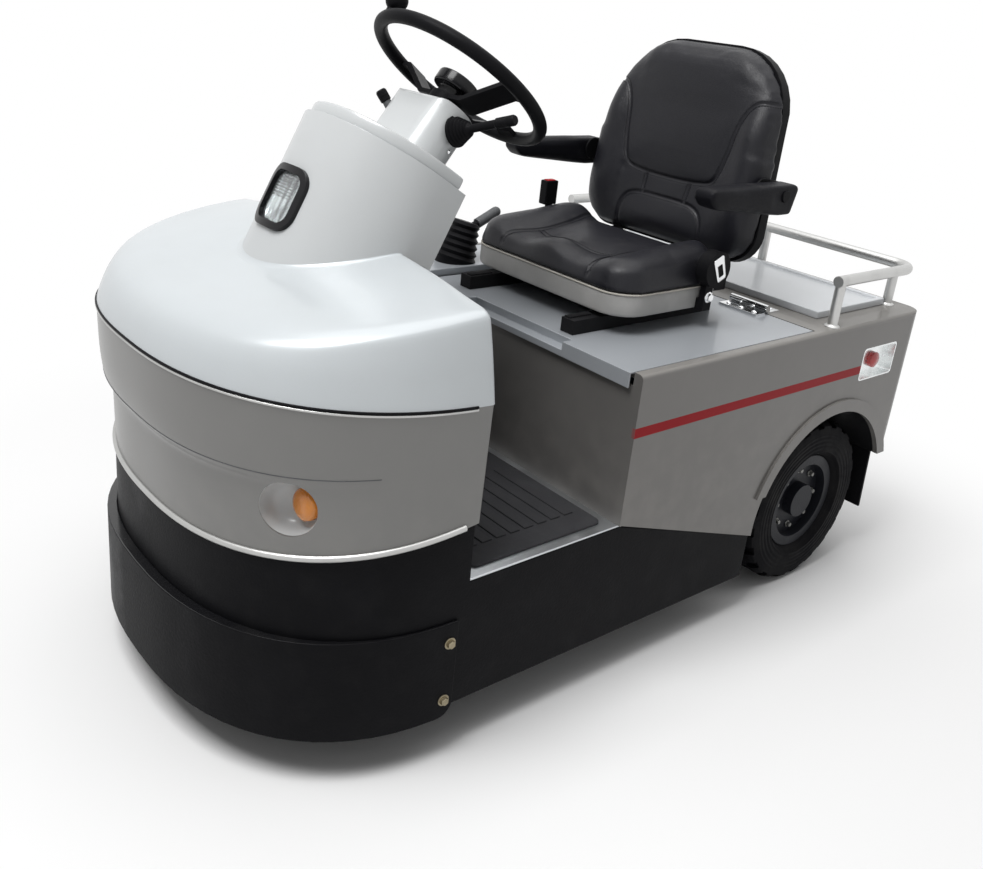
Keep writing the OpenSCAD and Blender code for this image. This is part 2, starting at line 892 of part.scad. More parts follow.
module rear_axle() {
  hub_x = rear_track / 2 - tyre_w / 2;
  color("#2e3033") translate([0, y_axle, axle_z]) {
    rotate([0, 90, 0]) {
      cylinder(r = tube_r, h = 2 * (hub_x - hub_in), center = true);
      cylinder(r = diff_r, h = diff_w, center = true);
      cylinder(r = stub_r, h = 2 * (rear_track / 2 + disc_in + hub_cap_w - cap_t - stub_gap), center = true);
    }
    both_sides() {
      translate([rail_x + rail_w / 2 + swing, 0, 0]) rotate([0, 90, 0]) cylinder(r = drum_r, h = drum_w);
      translate([rail_x - rail_w / 2, -pad_l / 2, 0]) cube([rail_w, pad_l, rail_low - axle_z]);
    }
    rotate([90, 0, 0]) cylinder(r = motor_r, h = motor_l);
  }
}

battery_half = 280;
battery_front = 26;
battery_l = 500;
battery_h = 280;

module battery() {
  color("#3b4a55") translate([-battery_half, y_box + battery_front, rail_top])
    cube([2 * battery_half, battery_l, battery_h]);
}

jaw_w = 130;
jaw_plate_h = 190;
jaw_plate_t = 16;
jaw_low = 255;
tongue_t = 18;
tongue_count = 3;
jaw_bore_r = 16;
tongue_r = 38;

module tow_jaw() {
  y_pin = y_jaw - tongue_r;
  pitch = (jaw_plate_h - tongue_t) / (tongue_count - 1);
  color("#2a2c2e") difference() {
    union() {
      translate([-jaw_w / 2, y_tail, jaw_low]) cube([jaw_w, jaw_plate_t, jaw_plate_h]);
      for (i = [0 : tongue_count - 1]) translate([0, 0, jaw_low + i * pitch]) {
        translate([-tongue_r, y_tail, 0]) cube([2 * tongue_r, y_pin - y_tail, tongue_t]);
        translate([0, y_pin, 0]) cylinder(r = tongue_r, h = tongue_t);
      }
    }
    translate([0, y_pin, jaw_low - cut]) cylinder(r = jaw_bore_r, h = jaw_plate_h + 2 * cut);
  }
}

console_h = 20;
console_r = 14;
gaiter_r = 48;
gaiter_tip_r = 30;
gaiter_h = 95;
gaiter_folds = 6;
gaiter_ridge = 4;
gaiter_lean = 16;
lever_x = -278;
lever_y = 120;
lever_lean = 65;
lever_root_share = 0.7;
lever_tube_r = 9;
lever_tube_l = 47;
lever_grip_r = 12;
lever_grip_l = 60;
lever_root = gaiter_h * lever_root_share;
lever_reach = lever_root * sin(gaiter_lean) + (lever_tube_l + lever_grip_l) * sin(lever_lean);
console_l = lever_y + lever_reach + lever_grip_r;

module brake_console() {
  x0 = clear - lid_half;
  x1 = -console_half - swing;
  w = x1 - x0;
  l = console_l - swing;
  color("#b9bcbb") translate([(x0 + x1) / 2, y_box + l / 2, deck_z - lid_t - clear])
    linear_extrude(console_h) polygon(round_rect(w, l, console_r));
}

// The gaiter leans towards the seat and is cut flat where it stands on the console
module brake_lever() {
  base_z = deck_z - lid_t - clear + console_h;
  fold_h = gaiter_h / gaiter_folds;
  color("#202123") translate([lever_x, y_box + lever_y, base_z]) difference() {
    rotate([-gaiter_lean, 0, 0]) {
      rotate_extrude() polygon(concat(
        [[0, -gaiter_r], [gaiter_r, -gaiter_r]],
        [for (i = [0 : gaiter_folds - 1]) let (r = mix(gaiter_r, gaiter_tip_r, i / gaiter_folds))
          each [[r, i * fold_h], [r + gaiter_ridge, (i + 0.5) * fold_h]]],
        [[gaiter_tip_r, gaiter_h], [0, gaiter_h]]
      ));
      translate([0, 0, lever_root]) rotate([gaiter_lean - lever_lean, 0, 0]) {
        cylinder(r = lever_tube_r, h = lever_tube_l);
        translate([0, 0, lever_tube_l]) cylinder(r = lever_grip_r, h = lever_grip_l);
        translate([0, 0, lever_tube_l + lever_grip_l]) sphere(r = lever_grip_r);
      }
    }
    translate([-far / 2, -far / 2, -far]) cube(far);
  }
}

// Lid and seat

lid_lip = 31;
lid_lip_out = 10;
lid_gap = 3;
scoop_x0 = -60;
scoop_x1 = 243;
scoop_l = 26;
scoop_drop = 17;

module battery_lid() {
  side = lid_half - lid_gap;
  y0 = y_box - lid_lip_out;
  z0 = deck_z - lid_t;
  color("#aeb1b1") difference() {
    union() {
      translate([-side, y0, z0]) cube([2 * side, lid_l - lid_gap + lid_lip_out, lid_t]);
      translate([-console_half, y0, deck_z - lid_lip]) cube([side + console_half, lid_t, lid_lip]);
      translate([scoop_x0 - lid_t, y0, z0 - scoop_drop])
        cube([scoop_x1 - scoop_x0 + 2 * lid_t, scoop_l + lid_t, scoop_drop + lid_t]);
    }
    translate([scoop_x0, y0 - cut, deck_z - scoop_drop])
      cube([scoop_x1 - scoop_x0, scoop_l + cut, scoop_drop + cut]);
    translate([-side - cut, y0 - cut, z0 - cut])
      cube([side + cut - console_half, console_l + lid_lip_out + cut, 2 * cut]);
  }
}

hinge_x = 250;
hinge_w = 104;
hinge_leaf = 44;
hinge_t = 4;
hinge_r = 8;
hinge_pin_r = 4;
hinge_gap = 0.4;
hinge_mid_share = 0.4;
hinge_z = deck_z + hinge_t + hinge_r;
hinge_y = y_seam - lid_gap / 2;

module hinge_barrel(x0, x1) {
  translate([x0, hinge_y, hinge_z]) rotate([0, 90, 0]) cylinder(r = hinge_r, h = x1 - x0);
}

// The leaf on the lid with the middle knuckle
module lid_hinges() {
  mid = hinge_w * hinge_mid_share / 2;
  color("#d8dadb") for (side = [-1, 1]) translate([side * hinge_x, 0, 0]) difference() {
    union() {
      translate([-hinge_w / 2, hinge_y - hinge_leaf, deck_z])
        cube([hinge_w, hinge_leaf - hinge_r - hinge_gap, hinge_t]);
      translate([-mid, hinge_y - hinge_leaf, deck_z]) cube([2 * mid, hinge_leaf - lid_gap / 2, hinge_t]);
      translate([-mid, hinge_y - hinge_r, deck_z]) cube([2 * mid, hinge_r - lid_gap / 2, hinge_t + hinge_r]);
      hinge_barrel(-mid, mid);
    }
    translate([-mid - cut, hinge_y, hinge_z])
      rotate([0, 90, 0]) cylinder(r = hinge_pin_r + pin_fit, h = 2 * mid + 2 * cut);
  }
}

// The leaf on the deck with the outer knuckles and the pin
module deck_hinges() {
  mid = hinge_w * hinge_mid_share / 2 + hinge_gap;
  color("#d8dadb") for (side = [-1, 1]) translate([side * hinge_x, 0, 0]) {
    translate([-hinge_w / 2, hinge_y + hinge_r + hinge_gap, deck_z])
      cube([hinge_w, hinge_leaf - hinge_r - hinge_gap, hinge_t]);
    for (end = [-1, 1]) {
      x0 = end > 0 ? mid : -hinge_w / 2;
      translate([x0, hinge_y + lid_gap, deck_z]) cube([hinge_w / 2 - mid, hinge_leaf - lid_gap, hinge_t]);
      translate([x0, hinge_y + lid_gap / 2 + hinge_gap, deck_z])
        cube([hinge_w / 2 - mid, hinge_r - lid_gap / 2 - hinge_gap, hinge_t + hinge_r]);
      hinge_barrel(x0, x0 + hinge_w / 2 - mid);
    }
    translate([-hinge_w / 2, hinge_y, hinge_z]) rotate([0, 90, 0]) cylinder(r = hinge_pin_r, h = hinge_w);
  }
}

slide_x = 165;
slide_w = 36;
slide_front = 34;
slide_l = 430;
slide_h = 30;
slide_tie = 300;
tie_w = 60;

module seat_rails() {
  color("#17181a") translate([seat_x, y_box, deck_z]) {
    for (side = [-1, 1])
      translate([side * slide_x - slide_w / 2, slide_front, 0]) cube([slide_w, slide_l, slide_h]);
    translate([-slide_x, slide_front + slide_tie / 2, lid_t])
      cube([2 * slide_x, tie_w, pan_z - deck_z - lid_t]);
    translate([-slide_x, slide_front + slide_tie, lid_t])
      cube([2 * slide_x, tie_w, pan_z - deck_z - lid_t]);
  }
}

seat_front = 92;
pan_l = 330;
pan_h = 50;
pan_r = 70;
pan_inset = 6;
cushion_l = 326;
cushion_h = 84;
cushion_r = 76;

module seat_pan() {
  color("#8f918f") translate([seat_x, y_box + seat_front + pan_inset + pan_l / 2, pan_z])
    linear_extrude(pan_h) polygon(round_rect(seat_w - 2 * pan_inset, pan_l, pan_r));
}

// Rings of the cushion from its seat up: share of the height, share of the edge pulled in
cushion_ring_shares = [[0, 0.35], [0.12, 0.05], [0.35, 0], [0.65, 0.1], [0.85, 0.38], [0.95, 0.68], [1, 1]];
cushion_edge = 46;

module seat_cushion() {
  color("#191a1b") translate([seat_x, y_box + seat_front + cushion_l / 2, pan_z + pan_h]) loft([
    for (s = cushion_ring_shares)
      let (e = cushion_edge * s[1], ring = round_rect(seat_w - 2 * e, cushion_l - 2 * e, cushion_r - e))
        [for (p = ring) [p[0], p[1], cushion_h * s[0]]]
  ]);
}

back_y = 432;
back_z = 790;
back_t = 50;
shell_t = 28;
back_low_r = 70;
back_top_r = 150;
back_narrow = 22;
back_h = (back_top_z - back_z) / cos(back_lean);

module on_back() {
  translate([seat_x, y_box + back_y, back_z]) rotate([90 - back_lean, 0, 0]) children();
}

// Outline of the backrest, seen from the front
function back_outline(inset) =
  let (a = seat_w / 2 - inset, b = a - back_narrow, n = 8, rl = back_low_r, rt = back_top_r)
    concat(
      [for (k = [0 : n]) let (t = 90 * k / n) [b - rt + rt * cos(t), back_h - inset - rt + rt * sin(t)]],
      [for (k = [0 : n]) let (t = 90 + 90 * k / n) [rt - b + rt * cos(t), back_h - inset - rt + rt * sin(t)]],
      [for (k = [0 : n]) let (t = 180 + 90 * k / n) [rl - a + rl * cos(t), inset + rl + rl * sin(t)]],
      [for (k = [0 : n]) let (t = 270 + 90 * k / n) [a - rl + rl * cos(t), inset + rl + rl * sin(t)]]
    );

// Rings of the backrest cushion from the shell to its face: share of the depth, share of the edge pulled in
back_ring_shares = [[0, 0.1], [0.3, 0], [0.65, 0.12], [0.88, 0.45], [1, 1]];
back_edge = 34;

module backrest_cushion() {
  color("#191a1b") on_back() loft([
    for (s = back_ring_shares) [for (p = back_outline(back_edge * s[1])) [p[0], p[1], back_t * s[0] - back_t]]
  ]);
}

arm_gap = 10;
arm_w = 56;
arm_pin_r = 12;
arm_z = 168;
arm_pin_at = 15;
ear_t = 5;
ear_r = 26;
bracket_in = 84;
bracket_t = 10;
bracket_drop = 70;

module backrest_shell() {
  color("#141516") {
    on_back() translate([0, 0, -back_t - shell_t]) linear_extrude(shell_t) polygon(back_outline(0));
    on_back() translate([-seat_w / 2 - clear, arm_z - ear_r, -back_t - shell_t])
      cube([seat_w + 2 * clear, 2 * ear_r, shell_t]);
    on_back() both_sides() translate([seat_w / 2 + clear, arm_z, 0]) {
      translate([0, 0, -arm_pin_at]) rotate([0, 90, 0]) {
        cylinder(r = arm_pin_r, h = arm_gap - clear + arm_w);
        cylinder(r = ear_r, h = ear_t);
      }
      translate([0, -ear_r, -back_t - shell_t]) cube([ear_t, 2 * ear_r, back_t + shell_t - arm_pin_at]);
    }
    for (side = [-1, 1]) translate([seat_x + side * (seat_w / 2 - bracket_in), y_box, 0]) seat_bracket();
  }
}

// Arm from the seat pan up to the backrest
module seat_bracket() {
  y0 = seat_front + pan_inset + pan_l;
  y1 = back_y + back_t / cos(back_lean) + bracket_drop * tan(back_lean);
  translate([-bracket_t / 2, y0, pan_z]) cube([bracket_t, y1 + shell_t - y0, bracket_drop]);
  translate([-bracket_t / 2, y1, pan_z]) cube([bracket_t, shell_t, back_z + bracket_drop - pan_z]);
}

armrest_l = 244;
armrest_h = 26;
armrest_root_h = 70;
armrest_back = 34;
armrest_tip = 20;

// The armrest on the left (side 1) or the right (side -1) of the seat
module armrest(side) {
  x0 = seat_w / 2 + arm_gap;
  root = arm_pin_z - armrest_root_h + armrest_h;
  color("#17181a") translate([seat_x, 0, 0]) difference() {
    translate([side * (x0 + arm_w / 2), 0, 0]) across(arm_w) polygon([
      [arm_y - armrest_l, arm_pin_z], [arm_y - armrest_l + armrest_tip, arm_pin_z - armrest_tip],
      [arm_y, root], [arm_y + armrest_back, root],
      [arm_y + armrest_back + armrest_tip, arm_pin_z + armrest_h], [arm_y - armrest_l, arm_pin_z + armrest_h]
    ]);
    translate([-far / 2, arm_y, arm_pin_z]) rotate([0, 90, 0]) cylinder(r = arm_pin_r + pin_fit, h = far);
  }
}

// Place of the armrests' pins
arm_y = y_box + back_y + arm_z * sin(back_lean) + arm_pin_at * cos(back_lean);
arm_pin_z = back_z + arm_z * cos(back_lean) - arm_pin_at * sin(back_lean);

module armrest_left() {
  armrest(1);
}

module armrest_right() {
  armrest(-1);
}

retractor_r = 38;
retractor_w = 30;
retractor_y = 338;
retractor_z = 800;
retractor_foot = 24;

module belt_retractor() {
  x0 = seat_x + seat_w / 2 + clear;
  color("#1a1b1d") translate([x0, y_box + retractor_y, 0]) {
    translate([0, 0, retractor_z]) rotate([0, 90, 0]) cylinder(r = retractor_r, h = retractor_w);
    translate([0, -retractor_foot / 2, pan_z]) cube([retractor_w / 2, retractor_foot, retractor_z - pan_z]);
    translate([-pan_inset - clear, -retractor_foot / 2, pan_z])
      cube([pan_inset + clear, retractor_foot, pan_h / 2]);
  }
}

buckle_w = 24;
buckle_l = 38;
buckle_h = 58;
buckle_y = 348;
buckle_z = 820;
buckle_stem = 14;

module belt_buckle() {
  x1 = seat_x - seat_w / 2 - clear;
  color("#1a1b1d") translate([x1, y_box + buckle_y, 0]) {
    translate([-buckle_w, -buckle_l / 2, buckle_z]) cube([buckle_w, buckle_l, buckle_h]);
    translate([-buckle_stem, -buckle_stem / 2, pan_z]) cube([buckle_stem, buckle_stem, buckle_z - pan_z]);
    translate([0, -buckle_stem / 2, pan_z]) cube([pan_inset + clear, buckle_stem, pan_h / 2]);
  }
}

// Wheels

bead_r = 102;
barrel_t = 7;
flange_t = 5;
rim_w = 80;
disc_t = 9;
disc_in = 12;
hub_cap_r = 42;
hub_cap_w = 30;
cap_t = 4;
tyre_crown = 16;
shoulder_share = 0.62;
edge_share = 0.9;
lug_gap_share = 0.42;
lug_l = 34;

// A rim about the X axis, with its dish towards +X and a bore for a shaft of radius r, capped or open
module rim(r, capped) {
  flange_r = rim_d / 2;
  w = rim_w / 2;
  hub = disc_in + hub_cap_w;
  bore = r + pin_fit;
  rotate([0, 90, 0]) rotate_extrude() polygon(concat(
    [
      [bore, -w], [hub_cap_r, -w], [hub_cap_r, disc_in - disc_t / 2],
      [bead_r - barrel_t, disc_in - disc_t / 2], [bead_r - barrel_t, -w], [flange_r, -w],
      [flange_r, flange_t - w], [bead_r, flange_t - w], [bead_r, w - flange_t], [flange_r, w - flange_t],
      [flange_r, w], [bead_r - barrel_t, w], [bead_r - barrel_t, disc_in + disc_t / 2],
      [hub_cap_r, disc_in + disc_t / 2], [hub_cap_r, hub]
    ],
    capped ? [[0, hub], [0, hub - cap_t], [bore, hub - cap_t]] : [[bore, hub]]
  ));
}

// A tyre of diameter d and width tread_w about the X axis
module tyre(d, tread_w) {
  big = d / 2;
  w = tread_w / 2;
  bead_w = rim_w / 2 - flange_t;
  groove_r = big - tread_h;
  lug_turn = 360 / lug_count;
  notch = lug_gap_share * lug_turn * PI * big / 180;
  difference() {
    rotate([0, 90, 0]) rotate_extrude() polygon([
      [bead_r, -bead_w], [rim_d / 2, -bead_w], [rim_d / 2 + tyre_crown, -w], [big - 2 * tyre_crown, -w],
      [big - tyre_crown / 2, -w * edge_share], [big, -w * shoulder_share],
      [big, w * shoulder_share], [big - tyre_crown / 2, w * edge_share],
      [big - 2 * tyre_crown, w], [rim_d / 2 + tyre_crown, w], [rim_d / 2, bead_w], [bead_r, bead_w]
    ]);
    for (side = [0, 1], i = [0 : lug_count - 1])
      rotate([(i + side / 2) * lug_turn, 0, 0])
        translate([side == 0 ? w - lug_l : -w - cut, -notch / 2, groove_r]) cube([lug_l + cut, notch, big]);
  }
}

axle_pin_r = 12.5;

module front_rim() {
  color("#33363a") translate([0, y_front, front_z]) rim(axle_pin_r, false);
}

module front_tyre() {
  color("#17181a") translate([0, y_front, front_z]) tyre(front_tyre_d, front_tyre_w);
}

module rear_rim_left() {
  color("#33363a") translate([rear_track / 2, y_axle, axle_z]) rim(stub_r, true);
}

module rear_tyre_left() {
  color("#17181a") translate([rear_track / 2, y_axle, axle_z]) tyre(tyre_d, tyre_w);
}

module rear_rim_right() {
  color("#33363a") mirror([1, 0, 0]) translate([rear_track / 2, y_axle, axle_z]) rim(stub_r, true);
}

module rear_tyre_right() {
  color("#17181a") mirror([1, 0, 0]) translate([rear_track / 2, y_axle, axle_z]) tyre(tyre_d, tyre_w);
}

crown_t = 16;
leg_t = 14;
leg_w = 70;
leg_end_r = 36;
spindle_h = 56;

module steering_fork() {
  leg_x = front_tyre_w / 2 + swing;
  crown_z = head_z - clear - crown_t;
  color("#2e3033") translate([0, y_front, 0]) {
    translate([-leg_x - leg_t, -leg_w / 2, crown_z]) cube([2 * (leg_x + leg_t), leg_w, crown_t]);
    translate([0, 0, crown_z]) cylinder(r = spindle_r, h = crown_t + clear + spindle_h);
    both_sides() {
      translate([leg_x, -leg_w / 2, front_z]) cube([leg_t, leg_w, crown_z + crown_t - front_z]);
      translate([leg_x, 0, front_z]) rotate([0, 90, 0]) cylinder(r = leg_end_r, h = leg_t);
    }
    translate([0, 0, front_z]) rotate([0, 90, 0])
      cylinder(r = axle_pin_r, h = 2 * (leg_x + leg_t), center = true);
  }
}

chassis_frame();
chassis_skirt();
front_bumper();
nose_band();
hood();
column_cowl();
cowl_cap();
column_neck();
headlamp_bezel();
headlamp_lens();
indicator_bowls();
indicator_lenses();
dash_panel();
pedals();
floor_plate();
floor_mat();
rear_body();
wheel_houses();
tail_lamp_housings();
tail_lamp_lenses();
luggage_deck();
rear_rail();
deck_hinges();
mudflaps();
rear_axle();
battery();
tow_jaw();
brake_console();
brake_lever();
column_stalks();
battery_lid();
lid_hinges();
seat_rails();
seat_pan();
seat_cushion();
backrest_shell();
backrest_cushion();
belt_retractor();
belt_buckle();
armrest_left();
armrest_right();
steering_wheel();
horn_button();
steering_fork();
front_rim();
front_tyre();
rear_rim_left();
rear_tyre_left();
rear_rim_right();
rear_tyre_right();
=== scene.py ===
"""Electric tow tractor: finishes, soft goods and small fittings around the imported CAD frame. Metres."""
import json
from math import copysign, cos, pi, radians, sin, sqrt

import bmesh
import bpy
import numpy as np
from mathutils import Matrix, Vector
from mathutils.bvhtree import BVHTree

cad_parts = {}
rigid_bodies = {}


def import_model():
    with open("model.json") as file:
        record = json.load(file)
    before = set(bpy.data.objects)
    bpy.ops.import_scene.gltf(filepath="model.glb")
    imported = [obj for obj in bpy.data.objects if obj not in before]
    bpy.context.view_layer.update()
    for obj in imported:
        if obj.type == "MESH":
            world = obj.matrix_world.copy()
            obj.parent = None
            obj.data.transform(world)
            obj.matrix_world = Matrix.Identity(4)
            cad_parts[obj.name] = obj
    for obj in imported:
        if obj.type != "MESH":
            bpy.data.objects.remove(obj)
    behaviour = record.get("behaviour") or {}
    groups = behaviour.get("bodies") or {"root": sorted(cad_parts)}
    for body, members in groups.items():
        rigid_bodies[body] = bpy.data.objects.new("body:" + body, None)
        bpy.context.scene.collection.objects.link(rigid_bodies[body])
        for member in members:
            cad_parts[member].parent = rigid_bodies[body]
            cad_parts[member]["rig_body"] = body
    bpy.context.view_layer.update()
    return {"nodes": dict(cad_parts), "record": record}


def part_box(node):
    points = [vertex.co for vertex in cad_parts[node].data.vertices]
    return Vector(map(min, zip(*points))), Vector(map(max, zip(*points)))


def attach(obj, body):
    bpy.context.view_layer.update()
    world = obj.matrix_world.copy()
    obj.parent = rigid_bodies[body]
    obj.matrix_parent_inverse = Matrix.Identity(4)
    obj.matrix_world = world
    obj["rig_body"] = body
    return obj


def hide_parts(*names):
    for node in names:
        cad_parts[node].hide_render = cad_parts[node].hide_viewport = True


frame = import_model()
BODY = {name: node["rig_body"] for name, node in frame["nodes"].items()}
SLOT = {part["node"]: part["material_slot"] for part in frame["record"]["subparts"]}
scene = bpy.context.scene

# Places and sizes shared with the part's source
HALF_W = 0.450
Y_AXLE = 0.5435
REAR_WHEEL = Vector((0, Y_AXLE, 0.2075))
FRONT_WHEEL = Vector((0, -0.6915, 0.190))
Y_NOSE = -0.5265
NOSE_DEPTH = 0.412
NOSE_POWER = 0.823
Y_BOX = -0.1655
SEAT_X = 0.042
SEAT_W = 0.500
ARM_PIN = Vector((0, 0.307596, 0.953585))
COWL_LEAN = radians(27)
COWL_R = 0.173
COWL_FOOT = Vector((0, Y_NOSE - 0.193, 0.814))
LAMP_RISE = 0.126
LAMP = COWL_FOOT + Vector((0, LAMP_RISE * sin(COWL_LEAN), LAMP_RISE * cos(COWL_LEAN)))
WHEEL_AT = Vector((0, -0.2895, 1.128))
COLUMN_TILT = radians(37)


def math_node(operation, turned=False):
    """A method that adds a Math node, with the other value first where it is turned."""
    def method(self, other=0):
        first, second = (other, self) if turned else (self, other)
        return self.nodes.add("ShaderNodeMath", {"operation": operation}, {0: first, 1: second})
    return method


class Number:
    """A socket of a node tree. Arithmetic on it adds Math nodes to the tree."""

    def __init__(self, nodes, socket):
        self.nodes, self.socket = nodes, socket

    __add__ = __radd__ = math_node("ADD")
    __mul__ = __rmul__ = math_node("MULTIPLY")
    __sub__ = math_node("SUBTRACT")
    __rsub__ = math_node("SUBTRACT", turned=True)
    __pow__ = math_node("POWER")
    __abs__ = math_node("ABSOLUTE")
    wave = math_node("SINE")

    def ramp(self, low, high):
        """0 up to low and 1 from high on, smooth between."""
        return self.nodes.add("ShaderNodeMapRange", {"interpolation_type": "SMOOTHSTEP"},
                              {0: self, 1: low, 2: high})


class Nodes:
    """A node tree that grows by one node a call."""

    def __init__(self, tree):
        self.tree = tree

    def feed(self, socket, value):
        if isinstance(value, Number):
            self.tree.links.new(value.socket, socket)
        else:
            socket.default_value = value

    def add(self, kind, settings=None, inputs=None, output=0):
        node = self.tree.nodes.new(kind)
        for key, value in (settings or {}).items():
            setattr(node, key, value)
        for key, value in (inputs or {}).items():
            self.feed(node.inputs[key], value)
        return Number(self, node.outputs[output])


class Finish(Nodes):
    """A material and the nodes that feed its shader."""

    def __init__(self, name, color, roughness, metallic=0.0, coat=0.0, **others):
        self.material = bpy.data.materials.new(name)
        self.material.use_nodes = True
        super().__init__(self.material.node_tree)
        self.shader = self.tree.nodes["Principled BSDF"]
        self.set("Base Color", (*color, 1))
        self.set("Roughness", roughness)
        self.set("Metallic", metallic)
        self.set("Coat Weight", coat)
        for socket, value in others.items():
            self.set(socket.replace("_", " "), value)

    def set(self, socket, value):
        self.feed(self.shader.inputs[socket], value)

    def place(self, centre=(0, 0, 0), turn=(0, 0, 0), scale=(1, 1, 1)):
        """Object coordinates about a centre, turned and scaled."""
        at = self.add("ShaderNodeTexCoord", output="Object")
        moved = self.add("ShaderNodeVectorMath", {"operation": "SUBTRACT"}, {0: at, 1: centre})
        return self.add("ShaderNodeMapping", None, {"Vector": moved, "Rotation": turn, "Scale": scale})

    def axis(self, name, at=None):
        return self.add("ShaderNodeSeparateXYZ", None, {0: at or self.place()}, "XYZ".index(name))

    def noise(self, scale, detail=2.0, at=None):
        return self.add("ShaderNodeTexNoise", None, {
            "Vector": at or self.place(), "Scale": scale, "Detail": detail})

    def cells(self, scale):
        return self.add("ShaderNodeTexVoronoi", None, {"Vector": self.place(), "Scale": scale})

    def mix(self, mask, first, second):
        return self.add("ShaderNodeMix", {"data_type": "RGBA"}, {0: mask, 6: first, 7: second}, 2)

    def facing_up(self):
        """1 on faces that look up, 0 on walls."""
        normal = self.add("ShaderNodeNewGeometry", output="Normal")
        return self.axis("Z", normal).ramp(0.35, 0.95)

    def bump(self, height, depth, strength=1.0):
        self.set("Normal", self.add("ShaderNodeBump", None,
                                    {"Strength": strength, "Distance": depth, "Height": height}))


DUST = (0.36, 0.345, 0.32, 1)
TAPE_RED, TAPE_DARK_RED = (0.30, 0.003, 0.008, 1), (0.25, 0.003, 0.007, 1)


def shade(color, share):
    return (*(c * share for c in color[:3]), 1)


def within(value, low, high, soft=0.0005):
    """1 from low to high, 0 outside."""
    return value.ramp(low - soft, low + soft) * (1 - value.ramp(high - soft, high + soft))


def silver_paint(name, color, roughness, metallic, stripe=None, painted_top_light=0.0):
    """Metallic paint: fine flake, a ripple in the lacquer, dust low down, and painted light on faces that
    look up.

    A stripe is (y0, y1, z0, z1) on the side walls.
    """
    f = Finish(name, color, roughness, metallic, coat=0.35, Coat_Roughness=0.1, Specular_IOR_Level=0.1)
    flake = f.cells(1400)
    cloud = f.noise(5.0, 3)
    low = 1 - f.axis("Z").ramp(0.36, 0.62)
    # Real dust low down, plus painted light: the last term lightens faces that look up towards the dust
    # colour and also dulls their metal.
    dust = (low * 0.12 + 0.03) * f.noise(18, 5).ramp(0.35, 0.75) + f.facing_up() * painted_top_light
    tone = f.mix(flake * 0.35, shade(color, 1.06), shade(color, 0.86))
    tone = f.mix(cloud.ramp(0.35, 0.7) * 0.25, tone, shade(color, 0.92))
    tone = f.mix(dust, tone, DUST)
    bare = metallic - dust * 0.4
    if stripe:
        y0, y1, z0, z1 = stripe
        on_wall = abs(f.axis("X")).ramp(HALF_W - 0.010, HALF_W - 0.004)
        tape = within(f.axis("Y"), y0, y1) * within(f.axis("Z"), z0, z1) * on_wall
        tone = f.mix(tape, tone, f.mix(cloud * 0.3, TAPE_RED, TAPE_DARK_RED))
        bare = bare * (1 - tape)
        f.set("Coat Weight", 0.35 - tape * 0.33)
    f.set("Base Color", tone)
    f.set("Roughness", roughness + cloud * 0.06 + dust * 0.4)
    f.set("Metallic", bare)
    f.bump(f.noise(160, 2) * 0.6 + flake * 0.1, 0.0002, 0.3)
    return f.material


def black_paint(name, color, roughness, grain=420.0, depth=0.0004, dust_share=0.35, shine=0.05, glaze=0.0):
    """Dark paint or moulded plastic: a fine grain, rubbed patches, dust, and a glaze on what looks up."""
    f = Finish(name, color, roughness, Coat_Roughness=0.16, Specular_IOR_Level=shine)
    grain_noise = f.noise(grain, 3)
    rub = f.noise(9, 5).ramp(0.45, 0.75)
    dust = f.noise(26, 6).ramp(0.42, 0.8) * (f.facing_up() * 0.6 + 0.4) * dust_share
    f.set("Base Color", f.mix(dust * 0.04, f.mix(rub * 0.5, color + (1,), shade(color, 1.45)), DUST))
    f.set("Roughness", roughness + grain_noise * 0.12 - rub * 0.1 + dust * 0.2)
    f.set("Coat Weight", f.facing_up() * glaze)
    f.bump(grain_noise + rub * 0.1, depth)
    return f.material


def brushed_metal(name, color, roughness, along="Y"):
    """Bare metal with fine lines along one direction and dull finger marks."""
    f = Finish(name, color, roughness, 1.0)
    stretch = tuple(6.0 if axis == along else 260.0 for axis in "XYZ")
    lines = f.noise(1.0, 4, f.place(scale=stretch))
    marks = f.noise(14, 5).ramp(0.45, 0.72)
    f.set("Base Color", f.mix(marks * 0.35, color + (1,), shade(color, 0.72)))
    f.set("Roughness", roughness + lines * 0.14 + marks * 0.12)
    f.bump(lines, 0.0002, 0.4)
    return f.material


def chrome(name, color=(0.8, 0.81, 0.82), roughness=0.1):
    """Plated metal with faint cloudy marks."""
    f = Finish(name, color, roughness, 1.0)
    marks = f.noise(30, 5).ramp(0.5, 0.75)
    f.set("Base Color", f.mix(marks * 0.4, color + (1,), shade(color, 0.7)))
    f.set("Roughness", roughness + marks * 0.2)
    f.bump(f.noise(90, 2), 0.0002, 0.3)
    return f.material


def lamp_lens(name, color, transmission):
    """Lamp plastic with a moulded pattern of small cells."""
    f = Finish(name, color, 0.08, coat=0.6, Transmission_Weight=transmission, IOR=1.45)
    mist = f.noise(40, 4).ramp(0.5, 0.8)
    f.set("Roughness", 0.06 + mist * 0.1)
    f.set("Base Color", f.mix(mist * 0.2, color + (1,), shade(color, 0.8)))
    f.bump(f.cells(420), 0.0008, 0.6)
    return f.material


def headlamp_glass(name):
    """Clear glass with flutes across its upper half."""
    f = Finish(name, (0.93, 0.96, 0.97), 0.06, coat=0.4, Transmission_Weight=0.92, IOR=1.25)
    up = f.axis("Z", f.place(LAMP, (COWL_LEAN, 0, 0)))
    across = f.axis("X")
    flutes = (up * (2 * pi / 0.0055)).wave() * (0.35 + 0.65 * up.ramp(-0.006, 0.004))
    f.set("Roughness", 0.05 + f.noise(40, 4).ramp(0.5, 0.8) * 0.1)
    f.bump(flutes + (across * (2 * pi / 0.018)).wave() * 0.4, 0.0012, 0.7)
    return f.material


